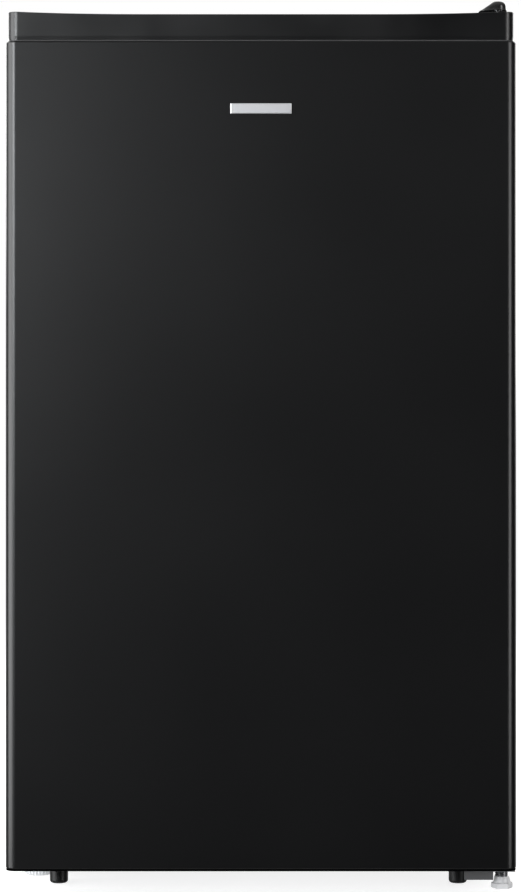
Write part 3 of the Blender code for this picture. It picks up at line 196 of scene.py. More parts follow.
def turned(profile, centre, axis="Z", steps=48, flutes=0, depth=0.0):
    """A profile of (radius, height) points turned about an axis: centre + radius (cos a, sin a) + height.

    A third column says how strongly the flutes act there: the radius loses depth times a clipped cosine of
    flutes times the angle.
    """
    profile = np.asarray(profile, float)
    angle = np.arange(steps) * 2 * math.pi / steps
    wave = np.clip(0.5 - 1.3 * np.cos(flutes * angle), 0, 1) if flutes else np.zeros(steps)
    strength = profile[:, 2:3] if profile.shape[1] > 2 else np.zeros((len(profile), 1))
    radius = profile[:, :1] - depth * strength * wave
    height = np.broadcast_to(profile[:, 1:2], radius.shape)
    points = np.stack([radius * np.cos(angle), radius * np.sin(angle), height], axis=2)
    return points[..., ORDER[axis]] + np.asarray(centre)


def skin(rings, ends="caps"):
    """Quads between neighbouring rings. The end rings are capped, joined as a loop, or left open."""
    count, around = rings.shape[:2]
    index = np.arange(count * around).reshape(count, around)
    start, end = (index, np.roll(index, -1, axis=0)) if ends == "loop" else (index[:-1], index[1:])
    quads = np.stack([start, np.roll(start, -1, axis=1), np.roll(end, -1, axis=1), end], axis=-1)
    faces = quads.reshape(-1, 4).tolist()
    if ends == "caps":
        faces += [index[0, ::-1].tolist(), index[-1].tolist()]
    return rings.reshape(-1, 3), faces


def solid(node, corner, edge, axis="Z", grow=0.0, steps=6):
    """A rounded block in a node's box."""
    half, centre, low, high = across(node, axis)
    return skin(carried(rounded(half + grow, corner, centre, steps), block(low, high, edge), axis))


def brick(low, high, corner, edge, axis="Z", steps=4):
    """A rounded block between two corners."""
    low, high = np.asarray(low, float), np.asarray(high, float)
    u, v, w = PLANES[axis]
    half, centre = (high - low)[[u, v]] / 2, (high + low)[[u, v]] / 2
    return skin(carried(rounded(half, corner, centre, steps), block(low[w], high[w], edge), axis))


def open_box(node, corner, *shape):
    """An open box that fills a node's box. What follows the corner goes to vessel after its wall."""
    half, centre, low, high = across(node)
    return skin(carried(rounded(half, corner, centre, 8), vessel(low, high, BIN_WALL, *shape)))


def tube(path, radius, sides=12, side=(0.0, 1.0, 0.0)):
    """A circle carried along a path: centre + radius (cos a over + sin a up), with over = side x tangent."""
    path = np.asarray(path, float)
    tangent = unit(np.gradient(path, axis=0))
    over = unit(np.cross(side, tangent))
    up = np.cross(tangent, over)
    angle = (np.arange(sides) * 2 * math.pi / sides)[:, None]
    radius = np.broadcast_to(radius, len(path))[:, None, None]
    return skin(path[:, None] + radius * (np.cos(angle) * over[:, None] + np.sin(angle) * up[:, None]))


def bend(points, radius, steps=6):
    """A path through the points, each corner drawn as an arc that both straights touch."""
    points = [np.asarray(point, float) for point in points]
    share = np.linspace(0, 1, steps + 1)[:, None]
    path = [points[0][None]]
    for before, corner, after in zip(points, points[1:], points[2:]):
        back, ahead = unit(before - corner), unit(after - corner)
        half = math.acos(np.clip(back @ ahead, -1, 1)) / 2
        centre = corner + unit(back + ahead) * radius / math.sin(half)
        first = unit(corner + back * radius / math.tan(half) - centre)
        last = unit(corner + ahead * radius / math.tan(half) - centre)
        span = math.pi - 2 * half
        swept = np.sin((1 - share) * span) * first + np.sin(share * span) * last
        path.append(centre + swept * radius / math.sin(span))
    return np.concatenate([*path, points[-1][None]])


def rods(starts, ends, radius, sides=6):
    """Straight round wires between pairs of points, all worked out at once."""
    starts, ends = np.atleast_2d(starts).astype(float), np.atleast_2d(ends).astype(float)
    along = unit(ends - starts)
    helper = np.where(np.abs(along[:, 2:]) > 0.9, [[1.0, 0.0, 0.0]], [[0.0, 0.0, 1.0]])
    over = unit(np.cross(along, helper))
    up = np.cross(along, over)
    angle = (np.arange(sides) * 2 * math.pi / sides)[None, :, None]
    circle = radius * (np.cos(angle) * over[:, None] + np.sin(angle) * up[:, None])
    rings = np.stack([starts[:, None] + circle, ends[:, None] + circle], axis=1)
    index = np.arange(len(starts) * 2 * sides).reshape(-1, 2, sides)
    low, high = index[:, 0], index[:, 1]
    quads = np.stack([low, np.roll(low, -1, axis=1), np.roll(high, -1, axis=1), high], axis=-1)
    return rings.reshape(-1, 3), quads.reshape(-1, 4).tolist() + low[:, ::-1].tolist() + high.tolist()


def thread(centre, radius, depth, pitch, low, high, steps=40):
    """A screw thread: the radius loses depth times a triangle wave of height / pitch - angle / full turn."""
    rows = max(int((high - low) / pitch * 8), 8)
    angle = np.arange(steps) * 2 * math.pi / steps
    height = np.linspace(low, high, rows + 1)[:, None]
    phase = (height / pitch - angle / (2 * math.pi)) % 1
    reach = radius - depth * np.abs(2 * phase - 1)
    x, y = centre[0] + reach * np.cos(angle), centre[1] + reach * np.sin(angle)
    return skin(np.stack([x, y, np.broadcast_to(height, x.shape)], axis=2))


def pan_head(centre, seat, way, radius, height):
    """A screw's head on its seat along Z: a dome, pressed down inside a cross where |x| or |y| is small."""
    share = np.array([1.0, 1.0, 0.96, 0.86, 0.7, 0.56, 0.5, 0.42, 0.34, 0.26, 0.2, 0.14, 0.1, 0.05, 0.0])
    rise = np.array([0.0, 0.35, 0.6, 0.8, 0.93, *np.linspace(0.97, 1.0, 10)])
    rings = turned(np.stack([share * radius, rise * height], axis=1), (0, 0, 0), steps=64)
    near = np.minimum(np.abs(rings[..., 0]), np.abs(rings[..., 1]))
    inside = np.hypot(rings[..., 0], rings[..., 1]) < 0.52 * radius
    rings[..., 2] -= np.where((near < 0.09 * radius) & inside, 0.55 * height, 0.0)
    rings[..., 2] *= way
    return skin(rings + np.array([*centre, seat]))


# Pieces


def mesh_of(name, shapes, outward=True):
    """One mesh of several surfaces, with doubles merged and faces turned outwards."""
    points, faces, base = [], [], 0
    for part, part_faces in shapes:
        points.append(part)
        faces += [[corner + base for corner in face] for face in part_faces]
        base += len(part)
    mesh = bpy.data.meshes.new(name)
    mesh.from_pydata(np.concatenate(points).tolist(), [], faces)
    form = bmesh.new()
    form.from_mesh(mesh)
    bmesh.ops.remove_doubles(form, verts=form.verts, dist=WELD)
    bmesh.ops.dissolve_degenerate(form, edges=form.edges, dist=WELD / 2)
    if outward:
        bmesh.ops.recalc_face_normals(form, faces=form.faces)
    form.to_mesh(mesh)
    form.free()
    return mesh


def show(name, mesh, material, body, replaces, sharp=35):
    """Puts a finished mesh in the scene as a piece that rides on a body."""
    mesh.shade_smooth()
    mesh.set_sharp_from_angle(angle=math.radians(sharp))
    mesh.materials.append(bpy.data.materials[material])
    obj = bpy.data.objects.new(name, mesh)
    bpy.context.scene.collection.objects.link(obj)
    weighted = obj.modifiers.new("even_normals", "WEIGHTED_NORMAL")
    weighted.keep_sharp = True
    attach(obj, body)
    if replaces:
        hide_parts(*replaces)
    return obj


def piece(name, shapes, material, body="cabinet", replaces=(), sharp=35):
    return show(name, mesh_of(name, shapes), material, body, replaces, sharp)


def softened(node, width, material, body="cabinet", segments=2):
    """A node's own solid, merged and with its edges rounded."""
    form = bmesh.new()
    form.from_mesh(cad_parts[node].data)
    bmesh.ops.remove_doubles(form, verts=form.verts, dist=WELD * 5)
    bmesh.ops.dissolve_limit(form, angle_limit=math.radians(1), verts=form.verts, edges=form.edges)
    mesh = bpy.data.meshes.new(node + "_finished")
    form.to_mesh(mesh)
    form.free()
    obj = show(node + "_finished", mesh, material, body, [node])
    rounding = obj.modifiers.new("edges", "BEVEL")
    rounding.width = width
    rounding.segments = segments
    rounding.limit_method = "ANGLE"
    rounding.angle_limit = math.radians(40)
    obj.modifiers.move(1, 0)
    return obj


def drill(obj, cutter_mesh):
    """Takes a closed mesh away from a piece, for good."""
    cutter = bpy.data.objects.new("drill", cutter_mesh)
    bpy.context.scene.collection.objects.link(cutter)
    change = obj.modifiers.new("hole", "BOOLEAN")
    change.operation = "DIFFERENCE"
    change.solver = "EXACT"
    change.object = cutter
    obj.modifiers.move(len(obj.modifiers) - 1, 0)
    graph = bpy.context.evaluated_depsgraph_get()
    weighted = obj.modifiers["even_normals"]
    weighted.show_viewport = False
    graph.update()
    mesh = bpy.data.meshes.new_from_object(obj.evaluated_get(graph))
    weighted.show_viewport = True
    obj.modifiers.remove(change)
    obj.data = mesh
    bpy.data.objects.remove(cutter)


# Materials


def new_look(name, color, roughness, metallic=0.0, **sockets):
    material = bpy.data.materials.new(name)
    material.use_nodes = True
    shader = material.node_tree.nodes["Principled BSDF"]
    shader.inputs["Base Color"].default_value = (*color, 1.0)
    shader.inputs["Roughness"].default_value = roughness
    shader.inputs["Metallic"].default_value = metallic
    for socket, value in sockets.items():
        shader.inputs[socket.replace("_", " ")].default_value = value
    material.diffuse_color = (*color, 1.0)
    return material


def noise_on(material, scale, detail=3.0, stretch=(1.0, 1.0, 1.0)):
    """Noise on Object coordinates, finer along the axes with a larger stretch."""
    tree = material.node_tree
    place = tree.nodes.new("ShaderNodeTexCoord")
    mapping = tree.nodes.new("ShaderNodeMapping")
    mapping.inputs["Scale"].default_value = stretch
    noise = tree.nodes.new("ShaderNodeTexNoise")
    noise.inputs["Scale"].default_value = scale
    noise.inputs["Detail"].default_value = detail
    tree.links.new(place.outputs["Object"], mapping.inputs["Vector"])
    tree.links.new(mapping.outputs["Vector"], noise.inputs["Vector"])
    return noise.outputs[0]


def add_bump(material, height, distance, strength=1.0):
    tree = material.node_tree
    bump = tree.nodes.new("ShaderNodeBump")
    bump.inputs["Distance"].default_value = distance
    bump.inputs["Strength"].default_value = strength
    tree.links.new(height, bump.inputs["Height"])
    tree.links.new(bump.outputs["Normal"], tree.nodes["Principled BSDF"].inputs["Normal"])


def vary(material, socket, height, low, high):
    """Drives a value or colour socket between two limits with a pattern."""
    tree = material.node_tree
    ramp = tree.nodes.new("ShaderNodeValToRGB")
    for element, value in zip(ramp.color_ramp.elements, (low, high)):
        element.color = (*value, 1.0) if isinstance(value, tuple) else (value, value, value, 1.0)
    ramp.color_ramp.elements[0].position = 0.3
    ramp.color_ramp.elements[1].position = 0.7
    tree.links.new(height, ramp.inputs["Fac"])
    tree.links.new(ramp.outputs["Color"], tree.nodes["Principled BSDF"].inputs[socket])


def shaded(color, factor):
    return tuple(channel * factor for channel in color)


def painted_look(name, color, roughness, coat=0.0):
    """Powder-coated or enamelled steel: a faint orange peel and slightly uneven gloss."""
    material = new_look(name, color, roughness, Coat_Weight=coat, Coat_Roughness=0.12)
    add_bump(material, noise_on(material, 520.0, 2.0), 0.000012, 0.5)
    vary(material, "Roughness", noise_on(material, 3.0), roughness * 0.94, roughness * 1.06)


def plastic_look(name, color, roughness, grain=0.0, grain_scale=900.0, **sockets):
    """Moulded plastic: a fine spark-eroded grain and a trace of flow marks in its gloss."""
    material = new_look(name, color, roughness, **sockets)
    add_bump(material, noise_on(material, grain_scale, 4.0), grain or 0.000008, 0.6)
    vary(material, "Roughness", noise_on(material, 14.0), roughness * 0.88, min(roughness * 1.12, 1.0))


def metal_look(name, color, roughness, stretch=(1.0, 1.0, 1.0), scale=160.0, uneven=0.82):
    """Rolled or drawn metal: brushing along one axis, and patches a little duller than the rest."""
    material = new_look(name, color, roughness, 1.0)
    brushed = noise_on(material, scale, 5.0, stretch)
    add_bump(material, brushed, 0.00002, 0.35)
    vary(material, "Roughness", brushed, roughness * 0.75, min(roughness * 1.3, 1.0))
    vary(material, "Base Color", noise_on(material, 22.0), shaded(color, uneven), color)


def clear_look(name, color, roughness, transmission):
    """Clear moulding or float glass: light goes through, with faint waves in its surface."""
    material = new_look(name, color, roughness, Transmission_Weight=transmission, IOR=1.5)
    add_bump(material, noise_on(material, 30.0, 1.0), 0.00003, 0.4)


class FridgeColors(bpy.types.PropertyGroup):
    """Colours of the finishes."""

    door: FloatVectorProperty(
        name="Door", description="Coated steel of the door and its end cap",
        default=(0.0011, 0.0011, 0.0013), size=3, min=0.0, max=1.0, subtype="COLOR",
    )
    cabinet: FloatVectorProperty(
        name="Cabinet", description="Coated steel of the cabinet's sides",
        default=(0.0035, 0.0035, 0.0038), size=3, min=0.0, max=1.0, subtype="COLOR",
    )
    liner: FloatVectorProperty(
        name="Liner", description="Formed plastic inside the cabinet and the door",
        default=(0.50, 0.51, 0.52), size=3, min=0.0, max=1.0, subtype="COLOR",
    )
    seal: FloatVectorProperty(
        name="Seal", description="Soft magnetic gasket",
        default=(0.27, 0.28, 0.29), size=3, min=0.0, max=1.0, subtype="COLOR",
    )
    badge: FloatVectorProperty(
        name="Badge", description="Plain metal bar on the door",
        default=(0.55, 0.55, 0.58), size=3, min=0.0, max=1.0, subtype="COLOR",
    )
    bracket: FloatVectorProperty(
        name="Brackets", description="Zinc-plated steel of the hinges and panels",
        default=(0.46, 0.47, 0.49), size=3, min=0.0, max=1.0, subtype="COLOR",
    )


class FridgeSizes(bpy.types.PropertyGroup):
    """Sizes of the fine shapes that the frame leaves to this script."""

    door_corner: FloatProperty(
        name="Door corner", description="Radius of the door's upright front edges",
        default=0.010, min=0.001, max=0.018, unit="LENGTH",
    )
    door_roll: FloatProperty(
        name="Rolled edge", description="Radius of the door skin's upper edge",
        default=0.0014, min=0.001, max=0.004, unit="LENGTH",
    )
    cap_dip: FloatProperty(
        name="Cap dip", description="How far the top cap's edge falls towards its middle",
        default=0.0027, min=0.0, max=0.010, unit="LENGTH",
    )
    cap_flat: FloatProperty(
        name="Level stretch", description="Half the length over which the top cap's edge is level",
        default=0.100, min=0.01, max=0.2, unit="LENGTH",
    )
    room_corner: FloatProperty(
        name="Room corner", description="Rounding of the compartment's corners",
        default=0.009, min=0.002, max=0.02, unit="LENGTH",
    )
    wire_pitch: FloatProperty(
        name="Wire pitch", description="Distance between the condenser's upright wires",
        default=0.0125, min=0.005, max=0.05, unit="LENGTH",
    )
    thread_pitch: FloatProperty(
        name="Thread pitch", description="Rise of the feet's threads in one turn",
        default=0.00175, min=0.0005, max=0.004, unit="LENGTH",
    )
    foot_flutes: IntProperty(
        name="Foot ribs", description="Ribs round the hand-turned foot", default=26, min=8, max=60,
    )
    knob_flutes: IntProperty(
        name="Knob ribs", description="Ribs round the thermostat's dial", default=28, min=8, max=60,
    )


class FridgeStage(bpy.types.PropertyGroup):
    """The camera and the lights."""

    camera_distance: FloatProperty(
        name="Camera distance", description="From the camera to the face of the door",
        default=2.2, min=0.5, max=10.0, unit="LENGTH",
    )
    camera_height: FloatProperty(
        name="Camera height", description="Height of the level camera over the floor",
        default=0.4166, min=0.0, max=3.0, unit="LENGTH",
    )
    lens: FloatProperty(
        name="Lens", description="Focal length on a 36 mm frame", default=96.36, min=10.0, max=300.0,
    )
    key: FloatProperty(
        name="Key light", description="Power of the light at the upper left", default=155.0, min=0.0,
        max=2000.0, subtype="POWER",
    )
    left_strip: FloatProperty(
        name="Left strip", description="Power of the tall light at the left", default=38.0, min=0.0,
        max=500.0, subtype="POWER",
    )
    right_strip: FloatProperty(
        name="Right strip", description="Power of the tall light at the right", default=12.0, min=0.0,
        max=500.0, subtype="POWER",
    )
    back: FloatProperty(
        name="Back light", description="Power of the two lights behind", default=30.0, min=0.0, max=500.0,
        subtype="POWER",
    )


def sizes():
    return bpy.context.scene.fridge_sizes


class FRIDGE_OT_finishes(bpy.types.Operator):
    """Makes the materials of all pieces"""

    bl_idname = "fridge.finishes"
    bl_label = "Finishes"

    def execute(self, context):
        colors = context.scene.fridge_colors
        painted_look("door_enamel", tuple(colors.door), 0.32)
        painted_look("cabinet_enamel", tuple(colors.cabinet), 0.42)
        plastic_look("cap_plastic", tuple(colors.door), 0.33, 0.000006, 1200.0)
        plastic_look("black_gloss", (0.0015, 0.0015, 0.0016), 0.20)
        plastic_look("black_board", (0.0040, 0.0040, 0.0042), 0.46, 0.00003, 700.0)
        plastic_look("black_moulding", (0.0022, 0.0022, 0.0024), 0.55, 0.00003, 800.0, Specular_IOR_Level=0.3)
        # a lighter grey for the cap's lower lip: a painted highlight standing in for the bright line that
        # light draws along the lip
        plastic_look("lip_painted_highlight", (0.034, 0.034, 0.035), 0.6)
        painted_look("bracket_paint", (0.085, 0.085, 0.088), 0.45)
        plastic_look("black_matt", (0.0012, 0.0012, 0.0013), 0.7, 0.00003, 800.0, Specular_IOR_Level=0.0)
        plastic_look("white_moulding", (0.54, 0.55, 0.56), 0.34)
        plastic_look("liner_plastic", tuple(colors.liner), 0.30, 0.00001, 260.0)
        plastic_look("seal_rubber", tuple(colors.seal), 0.62, 0.00002, 500.0)
        plastic_look("foot_rubber", (0.0020, 0.0020, 0.0021), 0.42, 0.00003, 600.0)
        plastic_look("foam_cells", (0.74, 0.62, 0.34), 0.95, 0.0004, 420.0)
        metal_look("zinc_sheet", tuple(colors.bracket), 0.40, (1.0, 1.0, 0.15), 90.0)
        metal_look("bright_zinc", (0.66, 0.66, 0.68), 0.24, (1.0, 1.0, 0.3), 240.0, 0.9)
        painted_look("satin_zinc", (0.50, 0.50, 0.51), 0.42)
        metal_look("dark_zinc", (0.34, 0.34, 0.35), 0.28, (1.0, 1.0, 0.3), 240.0, 0.9)
        metal_look("badge_metal", tuple(colors.badge), 0.34, (0.04, 1.0, 1.0), 900.0, 0.95)
        metal_look("evaporator_metal", (0.72, 0.73, 0.74), 0.38, (0.2, 1.0, 1.0), 200.0, 0.88)
        metal_look("copper_pipe", (0.70, 0.34, 0.20), 0.34, (1.0, 1.0, 1.0), 60.0, 0.6)
        painted_look("black_enamel", (0.0040, 0.0040, 0.0042), 0.24)
        painted_look("wire_enamel", (0.0050, 0.0050, 0.0052), 0.40)
        clear_look("shelf_glass", (0.90, 0.96, 0.94), 0.03, 0.96)
        clear_look("bin_clear", (0.90, 0.94, 0.96), 0.12, 0.88)
        clear_look("flap_clear", (0.86, 0.91, 0.94), 0.28, 0.80)
        new_look("mark_ink", (0.10, 0.11, 0.13), 0.6)
        return {"FINISHED"}


class FRIDGE_OT_door_panel(bpy.types.Operator):
    """Makes the door's folded skin, its top cap, its sill and the plain badge"""

    bl_idname = "fridge.door_panel"
    bl_label = "Door panel"

    def execute(self, context):
        self.make_skin()
        self.make_cap()
        half, centre, low, _ = across("door_bottom_cap")
        ring = rounded(half, (0.001, 0.001, 0.0096, 0.0096), centre, 10)
        top = BOXES["door_skin"][0][2] - GAP
        piece("door_sill", [skin(carried(ring, block(low, top, 0.0005), "Z"))], "black_matt",
              "door", ["door_bottom_cap"])
        half, centre, low, high = across("door_badge", "Y")
        ring = rounded(half, 0.0004, centre, 3)
        face = [(0.0, high), (0.0, low + 0.0005), (0.00015, low + 0.0002), (0.0005, low + 0.00005),
                (0.0012, low)]
        piece("plain_badge", [skin(carried(ring, face, "Y"))], "badge_metal", "door",
              ["door_badge"])
        return {"FINISHED"}

    def make_skin(self):
        """The sheet's section, out and back with its thickness, carried round the door seen from above."""
        half, centre, low, high = across("door_skin")
        corner, roll, fold = sizes().door_corner, sizes().door_roll, 0.0011
        ring = rounded(half, (0.0012, 0.0012, corner, corner), centre, 12)
        outside = [arc((fold, low + fold), fold, 270, 180, 3), arc((roll, high - roll), roll, 180, 96, 6)]
        inside = [
            arc((roll, high - roll), roll - SHEET, 96, 180, 6),
            arc((fold, low + fold), fold - SHEET, 180, 270, 3),
        ]
        shell = skin(carried(ring, np.concatenate(outside + inside)), "loop")
        piece("door_panel", [shell], "door_enamel", "door", ["door_skin"])

    def make_cap(self):
        """A moulded bar: its section is carried round the plan, and its upper side follows the dished edge.

        The level stretch is low by the dip. Past it the edge rises as the 2.4th power of the way to the end.
        The upper side runs in from the edge to the finger scoop, and on down into it.
        """
        half, centre, low, high = across("door_top_cap")
        dip, flat, corner = sizes().cap_dip, sizes().cap_flat, sizes().door_corner
        outer = rounded(half, (0.002, 0.002, corner, corner), centre, 10, 40)
        edge = 0.0006
        side = np.array([
            (0.0040, low), (0.0012, low), (0.0012, low + 0.0009), (0.0003, low + 0.0010),
            (0.0003, low + 0.0012), (0.0004, low + 0.0017), (0.0004, low + 0.0020), (0.0001, low + 0.0043),
            (0.0, low + 0.0050),
        ])
        top = arc((edge, high - edge), edge, 180, 90, 5)
        reach, before, behind, deep, lip_radius = 0.095, 0.007, 0.0045, 0.0130, 0.0012
        scoop_half = (reach, half[1] - (before + behind) / 2)
        inner = rounded(scoop_half, 0.006, (centre[0], centre[1] + (before - behind) / 2), 10, 40)
        mouth = np.concatenate([
            arc((-lip_radius, high - lip_radius), lip_radius, 90, 0, 4),
            arc((0.004, high - deep), 0.004, 180, 270, 5),
        ])
        upper, scoop = carried(outer, top), carried(inner, mouth)
        share = np.linspace(0, 1, 8)[1:-1, None, None]
        between = upper[-1] * (1 - share) + scoop[0] * share
        rings = np.concatenate([carried(outer, side), upper, between, scoop])
        follows = rings[len(side):]
        way = np.clip((np.abs(follows[..., 0]) - flat) / (half[0] - flat), 0, 1)
        follows[..., 2] += dip * (way**2.4 - 1)
        cap = piece("door_top_cap_finished", [skin(rings)], "cap_plastic", "door",
                    ["door_top_cap"], 50)
        # The lower lip is its own piece in a lighter grey than the cap: a painted highlight for the bright
        # line along the cap's lower edge.
        bead = [(0.0012, low), (0.0002, low), (0.0, low + 0.0002), (0.0, low + 0.0007),
                (0.0002, low + 0.0009), (0.0012, low + 0.0009)]
        piece("cap_lower_bead", [skin(carried(outer, bead), "loop")], "lip_painted_highlight", "door")
        pin_low, pin_high = BOXES["top_bush"]
        bore, under, over = 0.0063, pin_low[2] - 0.001, high + 0.002
        seat = turned([(0.0, under), (bore, under), (bore, over), (0.0, over)],
                      (*(pin_low + pin_high)[:2] / 2, 0.0), steps=48)
        drill(cap, mesh_of("seat", [skin(seat)]))


class FRIDGE_OT_door_inside(bpy.types.Operator):
    """Makes the door's formed liner, its folded gasket, its bins and the bottle rail"""

    bl_idname = "fridge.door_inside"
    bl_label = "Door inside"

    def execute(self, context):
        self.make_liner()
        self.make_gasket()
        for name in ("bottle_bin", "middle_bin", "upper_bin"):
            half, centre, low, _ = across(name)
            walls = open_box(name, (0.016, 0.016, 0.003, 0.003), 0.004, 0.0012)
            front = centre[1] + half[1]
            rib = [brick((-half[0] + 0.02, front - 0.0034, low + share),
                         (half[0] - 0.02, front - 0.0016, low + share + 0.0012), 0.0005, 0.0004)
                   for share in (0.014, 0.020, 0.026)]
            piece(name + "_clear", [walls, *rib], "bin_clear", "door", [name])
        low, high = BOXES["bottle_rail"]
        radius = (high[2] - low[2]) / 2
        height, end = (low[2] + high[2]) / 2, high[0] - radius
        route = [(-end, low[1], height), (-end, high[1] - radius, height), (end, high[1] - radius, height),
                 (end, low[1], height)]
        path = bend(route, 0.018, 10)
        piece("bottle_rail_wire", [tube(path, radius, 16, (0.0, 0.0, 1.0))], "bright_zinc",
              "door", ["bottle_rail"])
        return {"FINISHED"}

    def make_liner(self):
        """Rings from the sheet's edge, over the raised frame with its drafted sides, to the middle panel."""
        half, centre, back, face = across("door_liner", "Y")
        skin_low = BOXES["door_gasket"][0][1] - GAP
        low, high = part_box("door_liner", 1, skin_low + 0.010, face + 0.001)
        rise_half, rise_middle = (high - low)[[0, 2]] / 2, (high + low)[[0, 2]] / 2
        sheet = rounded(half, 0.002, centre, 6)
        frame_ring = rounded(rise_half, 0.012, rise_middle, 6)
        width, top, foot = 0.010, 0.0035, 0.0025
        climb = [
            *arc((-0.0008 - foot, skin_low + foot), foot, 270, 360, 4),
            *arc((top, face - top), top, 180, 90, 4),
            *arc((width - top, face - top), top, 90, 0, 4),
            *arc((width + 0.0008 + foot, skin_low + foot), foot, 180, 270, 4),
        ]
        rings = np.concatenate([
            carried(sheet, [(0.0, back), (0.0, skin_low - 0.0004), (0.0004, skin_low)], "Y"),
            carried(frame_ring, climb, "Y"),
        ])
        piece("door_liner_formed", [skin(rings)], "liner_plastic", "door", ["door_liner"])

    def make_gasket(self):
        """The seal's section, a magnet pocket on a folded web on a foot, carried round the door."""
        half, centre, low, high = across("door_gasket", "Y")
        ring = rounded(half, 0.006, centre, 8)
        pocket, foot = high - 0.0042, low + 0.0026
        section = [
            (0.0030, low), (0.0006, low), (0.0, low + 0.0008), (0.0004, foot), (0.0040, foot + 0.0002),
            (0.0018, foot + 0.0022), (0.0034, pocket - 0.0006), (0.0010, pocket + 0.0004),
            (0.0004, pocket + 0.0016), (0.0006, high - 0.0006), (0.0014, high), (0.0100, high),
            (0.0108, high - 0.0008), (0.0104, pocket), (0.0090, pocket - 0.0004), (0.0084, foot + 0.0022),
            (0.0104, foot + 0.0002), (0.0132, foot - 0.0006), (0.0138, low + 0.0008), (0.0130, low),
        ]
        loop = skin(carried(ring, section, "Y"), "loop")
        piece("door_seal", [loop], "seal_rubber", "door", ["door_gasket"], 60)


